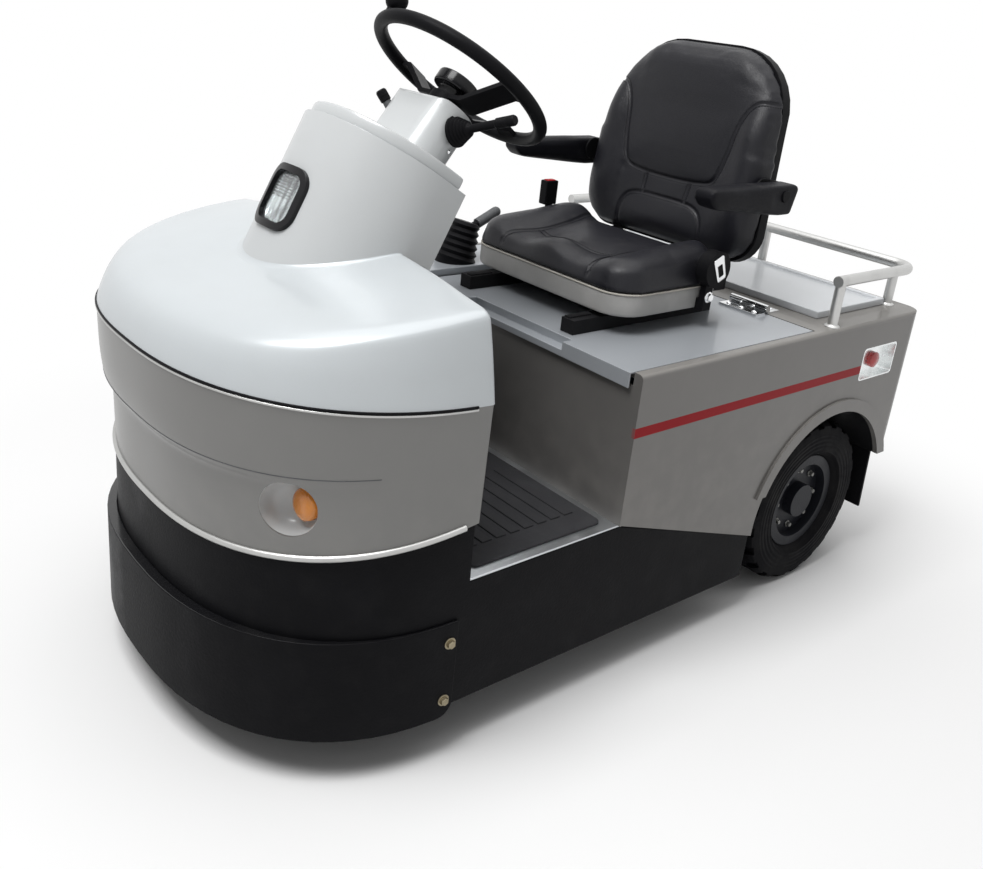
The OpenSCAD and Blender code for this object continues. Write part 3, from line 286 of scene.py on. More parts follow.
def vinyl(name, color, roughness, shine):
    """Grained seat cover: small leather cells, polished where it is sat on, with a little dust."""
    f = Finish(name, color, roughness, coat=0.03, Coat_Roughness=0.3, Specular_IOR_Level=shine)
    cells = f.cells(620)
    fine = f.noise(900, 2)
    worn = f.noise(7, 4).ramp(0.4, 0.7)
    dust = f.noise(30, 6).ramp(0.5, 0.85) * f.facing_up()
    f.set("Base Color", f.mix(dust * 0.04, f.mix(worn * 0.4, color + (1,), shade(color, 1.5)), DUST))
    f.set("Roughness", roughness - worn * 0.08 + cells * 0.12)
    f.bump(cells.ramp(0.05, 0.6) * 0.8 + fine * 0.25, 0.0005, 0.55)
    return f.material


def tyre_rubber(name, centre):
    """Tyre rubber: scuffed and a little dusty, with moulded rings round the sidewalls."""
    color = (0.004, 0.004, 0.005)
    f = Finish(name, color, 0.72, Specular_IOR_Level=0.06)
    scuff = f.noise(60, 6).ramp(0.45, 0.8)
    dust = f.noise(14, 5).ramp(0.35, 0.8)
    at = f.place(centre)
    radius = (f.axis("Y", at) ** 2 + f.axis("Z", at) ** 2) ** 0.5
    rings = (radius * (2 * pi / 0.011)).wave() * (1 - radius.ramp(0.176, 0.182)) * radius.ramp(0.124, 0.130)
    f.set("Base Color", f.mix(dust * 0.025, f.mix(scuff * 0.4, color + (1,), shade(color, 1.9)), DUST))
    f.set("Roughness", 0.66 + scuff * 0.15)
    f.bump(f.noise(380, 3) * 0.4 + scuff * 0.3 + rings, 0.0008, 0.7)
    return f.material


STRIPE = (Y_BOX, 0.6035, 0.5435, 0.564)
HOOD_PAINT = silver_paint("hood_silver", (0.52, 0.55, 0.567), 0.28, 0.2)
COWL_PAINT = silver_paint("cowl_silver", (0.52, 0.535, 0.54), 0.28, 0.1)
BAND_PAINT = silver_paint("band_silver", (0.205, 0.203, 0.197), 0.34, 0.35)
# The body paint's last value, 0.35, is painted light on its up-facing faces.
BODY_PAINT = silver_paint("body_silver", (0.165, 0.159, 0.152), 0.33, 0.35, STRIPE, 0.35)
DECK_PAINT = silver_paint("deck_silver", (0.36, 0.38, 0.405), 0.34, 0.3)
TRAY_PAINT = silver_paint("tray_silver", (0.60, 0.62, 0.64), 0.34, 0.25)
FRAME_PAINT = black_paint("frame_black", (0.012, 0.012, 0.013), 0.45)
SKIRT_PAINT = black_paint("skirt_black", (0.006, 0.006, 0.007), 0.40, 260.0, 0.0005, glaze=0.5)
BUMPER_PAINT = black_paint("bumper_black", (0.006, 0.006, 0.007), 0.42, 180.0, 0.0005, glaze=1.0)
PLASTIC = black_paint("moulded_black", (0.007, 0.007, 0.008), 0.38, 520.0, 0.0003, 0.2)
GLOSS_BLACK = black_paint("gloss_black", (0.006, 0.006, 0.007), 0.16, 300.0, 0.0001, 0.1, 0.25)
GREY_PLASTIC = black_paint("grey_plastic", (0.085, 0.088, 0.092), 0.4, 420.0, 0.0003, 0.2, 0.25)
PAN_PLASTIC = black_paint("pan_grey", (0.35, 0.345, 0.335), 0.45, 480.0, 0.0003, 0.2, 0.3)
PAN_EDGE = black_paint("pan_edge", (0.42, 0.40, 0.36), 0.5, 480.0, 0.0002, 0.2)
MAT_RUBBER = black_paint("mat_rubber", (0.040, 0.040, 0.043), 0.55, 340.0, 0.0006, 0.5)
CAST_BLACK = black_paint("cast_black", (0.020, 0.021, 0.022), 0.5, 150.0, 0.0008)
BATTERY_CASE = black_paint("battery_case", (0.06, 0.085, 0.11), 0.5)
RIM_PAINT = black_paint("rim_grey", (0.012, 0.013, 0.017), 0.34, 240.0, 0.0003, shine=0.15)
THREAD = black_paint("seat_thread", (0.016, 0.016, 0.018), 0.6, 900.0, 0.0002, 0.2)
RED_BUTTON = black_paint("red_button", (0.42, 0.010, 0.012), 0.32, 400.0, 0.0002, 0.2)
RAIL_METAL = brushed_metal("rail_metal", (0.56, 0.56, 0.55), 0.3)
STEP_METAL = brushed_metal("step_metal", (0.60, 0.62, 0.64), 0.28, "Y")
TRIM_METAL = brushed_metal("trim_metal", (0.50, 0.50, 0.49), 0.26, "X")
NUT_METAL = brushed_metal("nut_metal", (0.22, 0.22, 0.21), 0.36, "X")
BRASS = brushed_metal("plated_bolts", (0.30, 0.26, 0.18), 0.34, "Z")
CHROME = chrome("chrome")
LAMP_BOWL = chrome("lamp_bowl", (0.82, 0.84, 0.84), 0.26)
CLEAR_LENS = headlamp_glass("clear_lens")
AMBER_LENS = lamp_lens("amber_lens", (0.80, 0.27, 0.004), 0.3)
RED_LENS = lamp_lens("red_lens", (0.55, 0.015, 0.015), 0.2)
SEAT_VINYL = vinyl("seat_vinyl", (0.008, 0.008, 0.011), 0.32, 0.26)
ARM_VINYL = vinyl("arm_vinyl", (0.006, 0.006, 0.008), 0.42, 0.07)
FRONT_TYRE = tyre_rubber("front_tyre_rubber", FRONT_WHEEL)
REAR_TYRE = tyre_rubber("rear_tyre_rubber", REAR_WHEEL)


def new_mesh(name, points, faces):
    """An object with this mesh, linked to the scene."""
    mesh = bpy.data.meshes.new(name)
    mesh.from_pydata([tuple(p) for p in points], [], faces)
    obj = bpy.data.objects.new(name, mesh)
    scene.collection.objects.link(obj)
    return obj


def settle(obj):
    """Turns the modifiers' result into the object's plain mesh."""
    deps = bpy.context.evaluated_depsgraph_get()
    mesh = bpy.data.meshes.new_from_object(obj.evaluated_get(deps))
    obj.modifiers.clear()
    obj.data = mesh
    return obj


def modify(obj, kind, **settings):
    modifier = obj.modifiers.new(kind.lower(), kind)
    for key, value in settings.items():
        setattr(modifier, key, value)
    return modifier


def smooth(obj, angle=35.0):
    mesh = obj.data
    mesh.polygons.foreach_set("use_smooth", [True] * len(mesh.polygons))
    mesh.set_sharp_from_angle(angle=radians(angle))
    return obj


def outwards(obj):
    """Turns the faces of a closed piece outwards."""
    bm = bmesh.new()
    bm.from_mesh(obj.data)
    bmesh.ops.recalc_face_normals(bm, faces=bm.faces)
    bm.to_mesh(obj.data)
    bm.free()
    return obj


def surface(mesh):
    """A tree for casting rays onto a mesh."""
    return BVHTree.FromPolygons([v.co for v in mesh.vertices], [p.vertices for p in mesh.polygons])


def ring_faces(rings, count):
    """Faces of a tube of closed rings, capped at both ends."""
    faces = []
    for j in range(rings - 1):
        for k in range(count):
            here, beside = j * count + k, j * count + (k + 1) % count
            faces.append((here, beside, beside + count, here + count))
    last = (rings - 1) * count
    return faces + [tuple(reversed(range(count))), tuple(range(last, last + count))]


def put(obj, finish, body, slot, *nodes):
    """Paints a finished piece, hangs it on its body and hides the solids that it stands for."""
    obj.data.materials.clear()
    obj.data.materials.append(finish)
    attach(obj, body)
    if nodes:
        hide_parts(*nodes)
    return obj


def merged_copy(node, name):
    """A copy of a solid's mesh with its triangles joined into whole faces."""
    bm = bmesh.new()
    bm.from_mesh(frame["nodes"][node].data)
    bmesh.ops.remove_doubles(bm, verts=bm.verts, dist=2e-5)
    bmesh.ops.dissolve_limit(bm, angle_limit=radians(0.4), verts=bm.verts, edges=bm.edges)
    bm.verts.index_update()
    obj = new_mesh(name, [v.co for v in bm.verts], [[v.index for v in f.verts] for f in bm.faces])
    bm.free()
    return obj


def dress(node, finish, edge=0.0015, steps=2, angle=38.0):
    """A solid with softened edges, in its own place."""
    obj = merged_copy(node, node + "_finish")
    if edge:
        modify(obj, "BEVEL", width=edge, segments=steps, limit_method="ANGLE", angle_limit=radians(angle))
        settle(obj)
    smooth(obj, angle)
    modify(obj, "WEIGHTED_NORMAL", keep_sharp=True)
    settle(obj)
    return put(obj, finish, BODY[node], SLOT[node], node)


# Repeated and swept pieces

class Pattern(Nodes):
    """A geometry node group whose inputs are set by name."""

    def __init__(self, name, **inputs):
        super().__init__(bpy.data.node_groups.new(name, "GeometryNodeTree"))
        sockets = self.tree.interface
        sockets.new_socket("Geometry", in_out="INPUT", socket_type="NodeSocketGeometry")
        for label, kind in inputs.items():
            sockets.new_socket(label, in_out="INPUT", socket_type="NodeSocket" + kind)
        sockets.new_socket("Material", in_out="INPUT", socket_type="NodeSocketMaterial")
        sockets.new_socket("Geometry", in_out="OUTPUT", socket_type="NodeSocketGeometry")
        self.given = self.tree.nodes.new("NodeGroupInput")

    def input(self, label):
        return Number(self, self.given.outputs[label])

    def stored(self, name):
        return self.add("GeometryNodeInputNamedAttribute", {"data_type": "FLOAT_VECTOR"}, {"Name": name})

    def end(self, geometry):
        """Closes the group with real meshes in the given material."""
        real = self.add("GeometryNodeRealizeInstances", None, {0: geometry})
        painted = self.add("GeometryNodeSetMaterial", None, {0: real, "Material": self.input("Material")})
        self.feed(self.tree.nodes.new("NodeGroupOutput").inputs[0], painted)

    def run(self, obj, **values):
        modifier = modify(obj, "NODES", node_group=self.tree)
        for item in self.tree.interface.items_tree:
            if item.in_out == "INPUT" and item.name in values:
                modifier[item.identifier] = values[item.name]
        return settle(obj)


def scatter_pattern():
    """One copy of a piece on each point, turned by the stored directions."""
    p = Pattern("scatter", Piece="Object")
    turn = p.add("FunctionNodeAxesToRotation", {"primary_axis": "Z", "secondary_axis": "X"},
                 {0: p.stored("facing"), 1: p.stored("along")})
    piece = p.add("GeometryNodeObjectInfo", None, {"Object": p.input("Piece")}, "Geometry")
    p.end(p.add("GeometryNodeInstanceOnPoints", None,
                {"Points": p.input("Geometry"), "Instance": piece, "Rotation": turn}))
    return p


def bead_pattern():
    """A round bead along a line."""
    p = Pattern("bead", Radius="Float", Sides="Int")
    line = p.add("GeometryNodeMeshToCurve", None, {0: p.input("Geometry")})
    ring = p.add("GeometryNodeCurvePrimitiveCircle", None,
                 {"Resolution": p.input("Sides"), "Radius": p.input("Radius")})
    p.end(p.add("GeometryNodeCurveToMesh", None, {"Curve": line, "Profile Curve": ring, "Fill Caps": True}))
    return p


def stitch_pattern():
    """Stitches at an even spacing along a line."""
    p = Pattern("stitches", Piece="Object", Spacing="Float")
    line = p.add("GeometryNodeMeshToCurve", None, {0: p.input("Geometry")})
    even = p.add("GeometryNodeResampleCurve", {"mode": "LENGTH"},
                 {"Curve": line, "Length": p.input("Spacing")})
    turn = p.add("FunctionNodeAlignRotationToVector", {"axis": "X"},
                 {"Vector": p.add("GeometryNodeInputTangent")})
    piece = p.add("GeometryNodeObjectInfo", None, {"Object": p.input("Piece")}, "Geometry")
    p.end(p.add("GeometryNodeInstanceOnPoints", None,
                {"Points": even, "Instance": piece, "Rotation": turn}))
    return p


SCATTER, BEAD, STITCHES = scatter_pattern(), bead_pattern(), stitch_pattern()


def line_mesh(name, lines):
    """Open or closed lines as loose edges."""
    points, edges = [], []
    for line in lines:
        edges += [(len(points) + k, len(points) + k + 1) for k in range(len(line) - 1)]
        points += line
    obj = new_mesh(name, points, [])
    obj.data.clear_geometry()
    obj.data.from_pydata([tuple(p) for p in points], edges, [])
    return obj


def scatter(name, piece, finish, body, slot, places, angle=32.0):
    """Copies of a piece at places of (point, facing, along)."""
    obj = new_mesh(name, [place[0] for place in places], [])
    for k, label in ((1, "facing"), (2, "along")):
        layer = obj.data.attributes.new(label, "FLOAT_VECTOR", "POINT")
        layer.data.foreach_set("vector", [c for place in places for c in place[k]])
    SCATTER.run(obj, Piece=piece, Material=finish)
    bpy.data.objects.remove(piece)
    return put(smooth(obj, angle), finish, body, slot)


def bead(name, lines, radius, finish, body, slot, sides=10):
    obj = BEAD.run(line_mesh(name, lines), Radius=radius, Sides=sides, Material=finish)
    return put(smooth(obj, 60), finish, body, slot)


def lathe(name, profile, sides=24, at=(0, 0, 0), along=(0, 0, 1)):
    """A closed turned piece: profile of (height, radius) along an axis, with its ends capped."""
    turn = Vector(along).to_track_quat("Z", "Y").to_matrix()
    points = [Vector(at) + turn @ Vector((r * cos(2 * pi * k / sides), r * sin(2 * pi * k / sides), h))
              for h, r in profile for k in range(sides)]
    return new_mesh(name, points, ring_faces(len(profile), sides))


def joined(name, pieces):
    """One object from several, in their order."""
    points, faces = [], []
    for piece in pieces:
        base = len(points)
        points += [v.co.copy() for v in piece.data.vertices]
        faces += [[base + v for v in f.vertices] for f in piece.data.polygons]
        bpy.data.objects.remove(piece)
    return new_mesh(name, points, faces)


def hex_head(radius, height):
    """Hexagon head on a washer."""
    wide, thick = radius * 1.4, height * 0.28
    washer = lathe("washer", [(0, wide), (height * 0.2, wide), (thick, radius * 1.3)], 20)
    head = lathe("head", [(thick, radius), (height * 0.85, radius), (height, radius * 0.82)], 6)
    return joined("hex_head", [washer, head])


def dome_head(radius, height):
    """Low domed screw head with a driver recess."""
    return lathe("dome_head", [(0, radius), (height * 0.45, radius * 0.94), (height * 0.8, radius * 0.66),
                               (height, radius * 0.36), (height * 0.6, radius * 0.3)], 14)


def bar(length, width, height, round_share=0.3):
    """A low bar along X with chamfered edges, standing on Z = 0."""
    inset = height * round_share
    points = []
    for z, cut in ((0, 0), (height - inset, 0), (height, inset)):
        x, y = length / 2 - cut, width / 2 - cut
        points += [(-x, -y, z), (x, -y, z), (x, y, z), (-x, y, z)]
    return new_mesh("bar", points, ring_faces(3, 4))


UP, ACROSS, BACK = (0, 0, 1), (1, 0, 0), (0, 1, 0)
SIDES = (-1, 1)


def on_side(side, v):
    """A vector of the left side, or its mirror image on the right."""
    return Vector((side * v.x, v.y, v.z))


def rounded_outline(half_x, half_y, radius, steps=8):
    """A rounded rectangle's outline, anticlockwise."""
    points = []
    for k, (sx, sy) in enumerate(((1, 1), (-1, 1), (-1, -1), (1, -1))):
        for s in range(steps + 1):
            a = pi / 2 * (k + s / steps)
            x, y = sx * (half_x - radius), sy * (half_y - radius)
            points.append((x + radius * cos(a), y + radius * sin(a)))
    return points


# Nose shells

def nose_plan(half, depth, turn):
    """A point of the nose's outline, turn radians round from the left back edge."""
    across = copysign(abs(cos(turn)) ** NOSE_POWER, cos(turn))
    return half * across, Y_NOSE - depth * max(sin(turn), 0) ** NOSE_POWER


def between(rows, share):
    """A row read between the rows of a table, by a curve that doesn't overshoot them."""
    place = share * (len(rows) - 1)
    k = min(int(place), len(rows) - 2)
    t = place - k
    result = []
    for column in range(len(rows[0])):
        v = [row[column] for row in rows]
        steps = [v[i + 1] - v[i] for i in range(len(v) - 1)]

        def slope(i):
            if i == 0 or i == len(v) - 1:
                return steps[min(i, len(steps) - 1)]
            a, b = steps[i - 1], steps[i]
            return 2 * a * b / (a + b) if a * b > 0 else 0.0
        m0, m1 = slope(k), slope(k + 1)
        result.append((2 * t ** 3 - 3 * t ** 2 + 1) * v[k] + (t ** 3 - 2 * t ** 2 + t) * m0
                      + (3 * t ** 2 - 2 * t ** 3) * v[k + 1] + (t ** 3 - t ** 2) * m1)
    return result


def grid_faces(rows, columns):
    return [(r * columns + c, r * columns + c + 1, (r + 1) * columns + c + 1, (r + 1) * columns + c)
            for r in range(rows - 1) for c in range(columns - 1)]


def mix(a, b, share):
    return a + (b - a) * share


BAND_HALF, SEAM_HALF = HALF_W - 0.002, HALF_W + 0.003
BAND_SETBACK = 0.027
# Heights at the back edges and at the tip
BAND_Z = (0.467, 0.415)
SEAM_Z = (0.683, 0.707)
CROWN_Z = 0.862
# Share of the band's height, share of its overhang at the tip
BAND_LEVELS = [(0, 0), (0.45, 0.1), (0.56, 0.72), (0.75, 0.94), (1, 1)]
# Reach and rise at the sides, then reach and rise at the tip
HOOD_LEVELS = [
    (1.00, 0.00, 1.000, 0.00), (0.988, 0.15, 0.985, 0.13), (0.955, 0.52, 0.958, 0.28),
    (0.925, 0.77, 0.915, 0.41), (0.895, 0.81, 0.850, 0.50), (0.786, 0.85, 0.740, 0.57),
    (0.627, 0.91, 0.600, 0.64), (0.433, 0.96, 0.420, 0.74), (0.250, 0.99, 0.250, 0.85)]


def band_point(share, turn):
    height, overhang = between(BAND_LEVELS, share)
    depth = NOSE_DEPTH - BAND_SETBACK * (1 - overhang)
    x, y = nose_plan(mix(BAND_HALF, SEAM_HALF, height), depth, turn)
    ahead = (Y_NOSE - y) / NOSE_DEPTH
    return Vector((x, y, mix(mix(*BAND_Z, ahead), mix(*SEAM_Z, ahead), height)))


def hood_point(share, turn):
    row = between(HOOD_LEVELS, share)
    reach, rise = (mix(row[k], row[k + 2], sin(turn)) for k in (0, 1))
    x, y = nose_plan(SEAM_HALF, NOSE_DEPTH, turn)
    seam = mix(*SEAM_Z, (Y_NOSE - y) / NOSE_DEPTH)
    return Vector((x * reach, mix(Y_NOSE, y, reach), mix(seam, CROWN_Z, rise)))


def nose_shell(name, point, levels, roll, wall=0.006, rounds=120):
    """A shell over the nose with its back edges rolled inwards."""
    inward = Vector((0, Y_NOSE, 0.55))
    columns = []
    for c in range(rounds + 1):
        turn = pi * c / rounds
        columns.append([point(k / levels, turn) for k in range(levels + 1)])
    arcs = [radians(15 * k) for k in range(1, 7)]

    def rolled(column, arc):
        moved = []
        for p in column:
            to_middle = (inward - Vector((p.x, Y_NOSE, p.z))).normalized()
            moved.append(p + to_middle * roll * (1 - cos(arc)) + Vector((0, roll * sin(arc), 0)))
        return moved
    columns = ([rolled(columns[0], a) for a in reversed(arcs)] + columns
               + [rolled(columns[-1], a) for a in arcs])
    points = [p for column in columns for p in column]
    obj = new_mesh(name, points, grid_faces(len(columns), levels + 1))
    bm = bmesh.new()
    bm.from_mesh(obj.data)
    bmesh.ops.recalc_face_normals(bm, faces=bm.faces)
    middle = max(bm.faces, key=lambda f: -f.calc_center_median().y)
    if middle.normal.y > 0:
        bmesh.ops.reverse_faces(bm, faces=bm.faces)
    bm.to_mesh(obj.data)
    bm.free()
    modify(obj, "SOLIDIFY", thickness=wall, offset=-1)
    return settle(obj)


def bore(obj, point, radius, length, direction):
    """Cuts a round hole with a boolean."""
    turn = Vector(direction).to_track_quat("Z", "Y").to_matrix().to_4x4()
    bm = bmesh.new()
    bmesh.ops.create_cone(bm, cap_ends=True, segments=64, radius1=radius, radius2=radius, depth=length,
                          matrix=Matrix.Translation(point) @ turn @ Matrix.Translation((0, 0, length / 2)))
    mesh = bpy.data.meshes.new("cutter")
    bm.to_mesh(mesh)
    bm.free()
    cutter = bpy.data.objects.new("cutter", mesh)
    scene.collection.objects.link(cutter)
    modify(obj, "BOOLEAN", operation="DIFFERENCE", object=cutter, solver="EXACT")
    settle(obj)
    bpy.data.objects.remove(cutter)


INDICATOR = Vector((0.3354, -0.8193, 0.5187))
INDICATOR_OUT = Vector((0.6434, -0.7653, -0.0210)).normalized()
INDICATOR_R = 0.048


def cowl_point(x, y, z):
    """From the cowl's own axes (across, back, along its lean) to the frame."""
    c, s = cos(COWL_LEAN), sin(COWL_LEAN)
    return COWL_FOOT + Vector((x, y * c + z * s, z * c - y * s))


def cowl_fillet(hood, size=0.010, sunk=0.0006, root=0.004, highest=0.18, fade=14):
    """The moulded fillet where the cowl rises from the hood, fading at both ends over some sections."""
    tree = surface(hood.data)
    axis = cowl_point(0, 0, 1) - cowl_point(0, 0, 0)

    def meets(x, y):
        """How far along the cowl's axis the hood lies."""
        hit = tree.ray_cast(cowl_point(x, y, 0.25), -axis)[0]
        return None if hit is None else (hit - cowl_point(x, y, 0)).dot(axis)
    arc = [radians(180 * k / 64) for k in range(65)]
    back = [0.004 * k for k in range(12, 0, -1)]
    # Points of the cowl's outline with the direction out of it
    plan = [(COWL_R, COWL_R + b, 1, 0) for b in back]
    plan += [(COWL_R * cos(a), COWL_R * (1 - sin(a)), cos(a), -sin(a)) for a in arc]
    plan += [(-COWL_R, COWL_R + b, -1, 0) for b in reversed(back)]
    sections = []
    for x, y, nx, ny in plan:
        inner, outer = meets(x, y), meets(x + nx * size, y + ny * size)
        if inner is None or outer is None or inner > highest:
            continue
        corner = cowl_point(x, y, inner)
        on_hood = cowl_point(x + nx * size, y + ny * size, outer - sunk)
        on_cowl = cowl_point(x - nx * sunk, y - ny * sunk, inner + size)
        hidden = cowl_point(x - nx * root, y - ny * root, inner - root)
        sections.append((corner, on_hood, on_cowl, hidden))
    points, steps = [], 8
    for k, (corner, on_hood, on_cowl, hidden) in enumerate(sections):
        full = min(1, 0.25 + min(k, len(sections) - 1 - k) / fade)
        ends = [corner + (p - corner) * full for p in (on_hood, on_cowl)]
        for s in range(steps + 1):
            t = s / steps
            points.append(ends[0] * (1 - t) ** 2 + corner * (2 * t * (1 - t)) + ends[1] * t ** 2)
        points.append(hidden)
    fillet = new_mesh("cowl_fillet", points, ring_faces(len(sections), steps + 2))
    put(smooth(outwards(fillet), 40), HOOD_PAINT, "chassis", "silver_paint")


def nose():
    """Hood and band, the cowl's fillet and the beads along the band. Lamp pockets are bored into the band."""
    hood = smooth(nose_shell("hood_panel", hood_point, 44, 0.012), 40)
    put(hood, HOOD_PAINT, "chassis", "silver_paint", "hood")
    cowl_fillet(hood)
    band = nose_shell("nose_band_panel", band_point, 24, 0.007)
    for side in SIDES:
        out = on_side(side, INDICATOR_OUT)
        bore(band, on_side(side, INDICATOR) - out * 0.022, INDICATOR_R, 0.1, out)
    put(smooth(band, 40), BAND_PAINT, "chassis", "band_paint", "nose_band")
    margin, steps, crease_margin = 0.012, 140, 16
    turns = [pi * mix(margin, 1 - margin, k / steps) for k in range(steps + 1)]
    foot = [band_point(0, t) + Vector((0, 0, 0.003)) for t in turns]
    bead("band_trim", [foot], 0.0062, TRIM_METAL, "chassis", "bright_metal")
    # A bright metal bead under the hood's lower edge: painted highlight along the band's top lip.
    lip_highlight = [band_point(1, t) - Vector((0, 0, 0.0046)) for t in turns]
    bead("band_lip", [lip_highlight], 0.0024, TRIM_METAL, "chassis", "bright_metal", 8)
    # A thin dark bead along the band's crease: painted shade in the crease under the overhang.
    crease_shade = [band_point(0.49, t) for t in turns[crease_margin:-crease_margin]]
    bead("band_crease", [crease_shade], 0.0009, GREY_PLASTIC, "chassis", "band_paint", 6)
    seam = [band_point(1, t) for t in turns]
    bead("hood_gasket", [seam], 0.0024, PLASTIC, "chassis", "black_plastic", 8)


# Seat

def rounded_box_distance(x, y, half_x, half_y, radius):
    """How far inside a rounded rectangle a point lies; negative outside."""
    qx, qy = np.abs(x) - (half_x - radius), np.abs(y) - (half_y - radius)
    outside = np.hypot(np.maximum(qx, 0), np.maximum(qy, 0))
    return radius - outside - np.minimum(np.maximum(qx, qy), 0)


def edge_roll(inside, width, power=2.3):
    t = np.clip(inside / width, 0, 1)
    return (1 - (1 - t) ** power) ** (1 / power)


def ramp(v, low, high):
    t = np.clip((v - low) / (high - low), 0, 1)
    return t * t * (3 - 2 * t)


def grid_line(half, step=0.006):
    return np.arange(-half - step, half + 2 * step, step)


def pad_mesh(name, half_x, half_y, inside, top, low, place):
    """A closed pad over the grid points that lie inside an outline."""
    xs, ys = grid_line(half_x), grid_line(half_y)
    gx, gy = np.meshgrid(xs, ys, indexing="ij")
    keep = inside(gx, gy) > 0
    index = -np.ones(gx.shape, int)
    index[keep] = np.arange(keep.sum())
    count = int(keep.sum())
    faces = []
    edges = {}
    for i in range(len(xs) - 1):
        for j in range(len(ys) - 1):
            corners = ((i, j), (i + 1, j), (i + 1, j + 1), (i, j + 1))
            loop = [int(index[corner]) for corner in corners]
            if min(loop) >= 0:
                faces.append(loop)
                faces.append([v + count for v in reversed(loop)])
                for edge in zip(loop, loop[1:] + loop[:1]):
                    edges[edge] = True
    rim = [(a, b) for a, b in edges if (b, a) not in edges]
    faces += [[b, a, a + count, b + count] for a, b in rim]
    # The edge points move out onto the outline
    flat = np.stack([gx[keep], gy[keep]])
    at = sorted({v for edge in rim for v in edge})
    x, y, d = *flat[:, at], 1e-4
    slope = np.stack([inside(x + d, y) - inside(x - d, y), inside(x, y + d) - inside(x, y - d)]) / (2 * d)
    flat[:, at] -= inside(x, y) * slope / np.maximum((slope ** 2).sum(0), 0.3)
    points = [place(Vector(p)) for side in (top, low) for p in np.stack([*flat, side(*flat)], 1)]
    return new_mesh(name, points, faces)


CLOTH_FRAMES = 20
# Passes that even out the cloth's moves between neighbours
CLOTH_EASING = 10


def stuff(obj, pinned, cap, voxel=0.005, pressure=4.0):
    """Remeshes a pad and fills it with air by a cloth simulation.

    pinned(points) gives 0 to 1 where the cloth is held, and no point moves further than cap.
    """
    modify(obj, "REMESH", mode="VOXEL", voxel_size=voxel)
    settle(obj)
    modify(obj, "SMOOTH", factor=0.5, iterations=3)
    settle(obj)
    rest = np.array([v.co for v in obj.data.vertices])
    group = obj.vertex_groups.new(name="held")
    for i, weight in enumerate(pinned(rest)):
        if weight > 0.01:
            group.add([i], float(weight), "REPLACE")
    cloth = modify(obj, "CLOTH")
    cloth.settings.use_pressure = True
    cloth.settings.uniform_pressure_force = pressure
    cloth.settings.vertex_group_mass = "held"
    cloth.settings.effector_weights.gravity = 0
    for step in range(1, CLOTH_FRAMES + 1):
        scene.frame_set(step)
    deps = bpy.context.evaluated_depsgraph_get()
    swollen = np.array([v.co for v in obj.evaluated_get(deps).data.vertices])
    scene.frame_set(1)
    obj.modifiers.clear()
    obj.vertex_groups.clear()
    move = swollen - rest
    edges = np.array([e.vertices for e in obj.data.edges])
    ends, others = np.concatenate([edges, edges[:, ::-1]]).T
    share = np.bincount(ends, minlength=len(rest))[:, None]
    for _ in range(CLOTH_EASING):
        around = np.stack([np.bincount(ends, move[others, k], len(rest)) for k in range(3)], 1)
        move = (move + around / share) / 2
    length = np.linalg.norm(move, axis=1, keepdims=True)
    rest = rest + move * np.minimum(1, cap / np.maximum(length, 1e-9))
    obj.data.vertices.foreach_set("co", rest.astype(np.float32).ravel())
    obj.data.update()
    modify(obj, "SUBSURF", levels=1, render_levels=1)
    return settle(obj)


def seam_distance(points, lines):
    """Distance of flat points from the nearest of several polylines."""
    best = np.full(len(points), 1e9)
    for line in lines:
        line = np.array(line, float)
        for a, b in zip(line, line[1:]):
            d = b - a
            t = np.clip(((points - a) @ d) / max(d @ d, 1e-12), 0, 1)
            best = np.minimum(best, np.linalg.norm(points - a - t[:, None] * d, axis=1))
    return best


def curve_through(points, steps=10):
    """A smooth line through flat points."""
    p = [np.array(q, float) for q in points]
    p = [2 * p[0] - p[1]] + p + [2 * p[-1] - p[-2]]
    line = []
    for k in range(1, len(p) - 2):
        a, b, c, d = p[k - 1:k + 3]
        for s in range(steps):
            t = s / steps
            line.append(0.5 * (2 * b + (c - a) * t + (2 * a - 5 * b + 4 * c - d) * t ** 2
                               + (3 * b - a - 3 * c + d) * t ** 3))
    return line + [p[-2]]


def opposite(line):
    """A flat line's mirror image on the other side of the middle."""
    return [(-x, y) for x, y in line]


def arch(half, height):
    """A flat line from one side, over the middle at a height, to its mirror image."""
    return half + [(0, height)] + opposite(reversed(half))


CUSHION_L = 0.326
CUSHION_Y = Y_BOX + 0.092 + CUSHION_L / 2
CUSHION_Z = 0.758
CUSHION_SIDE = [(-0.135, -0.150), (-0.118, -0.06), (-0.125, 0.03), (-0.150, 0.145)]
CUSHION_SEAMS = [curve_through(line) for line in (
    CUSHION_SIDE, opposite(CUSHION_SIDE), arch([(-0.118, -0.055), (-0.06, -0.075)], -0.08))]
BACK_Y, BACK_Z = Y_BOX + 0.432, 0.790
BACK_LEAN = radians(9)
BACK_H = 0.450 / cos(BACK_LEAN)
BACK_T = 0.050
BACK_RIB = [(-0.065, 0.149), (-0.063, 0.098)]
BACK_SEAMS = [curve_through(line) for line in (
    arch([(-0.222, 0.345), (-0.185, 0.335), (-0.160, 0.29), (-0.148, 0.22), (-0.130, 0.165),
          (-0.09, 0.150)], 0.146),
    BACK_RIB, opposite(BACK_RIB),
    arch([(-0.125, 0.012), (-0.118, 0.07), (-0.085, 0.096)], 0.1))]
# How far from a seam the cloth is held
SEAM_HOLD = 0.008


def sew(obj, flat, lines, outward, depth=0.0035, width=0.0045):
    """Presses sewn channels into the side of a pad that faces outward."""
    mesh = obj.data
    co = np.array([v.co for v in mesh.vertices])
    normals = np.array([v.normal for v in mesh.vertices])
    facing = ramp(normals @ np.array(outward), 0.15, 0.5)
    groove = np.exp(-(seam_distance(flat(co), lines) / width) ** 2) * depth * facing
    mesh.vertices.foreach_set("co", (co - normals * groove[:, None]).astype(np.float32).ravel())
    mesh.update()


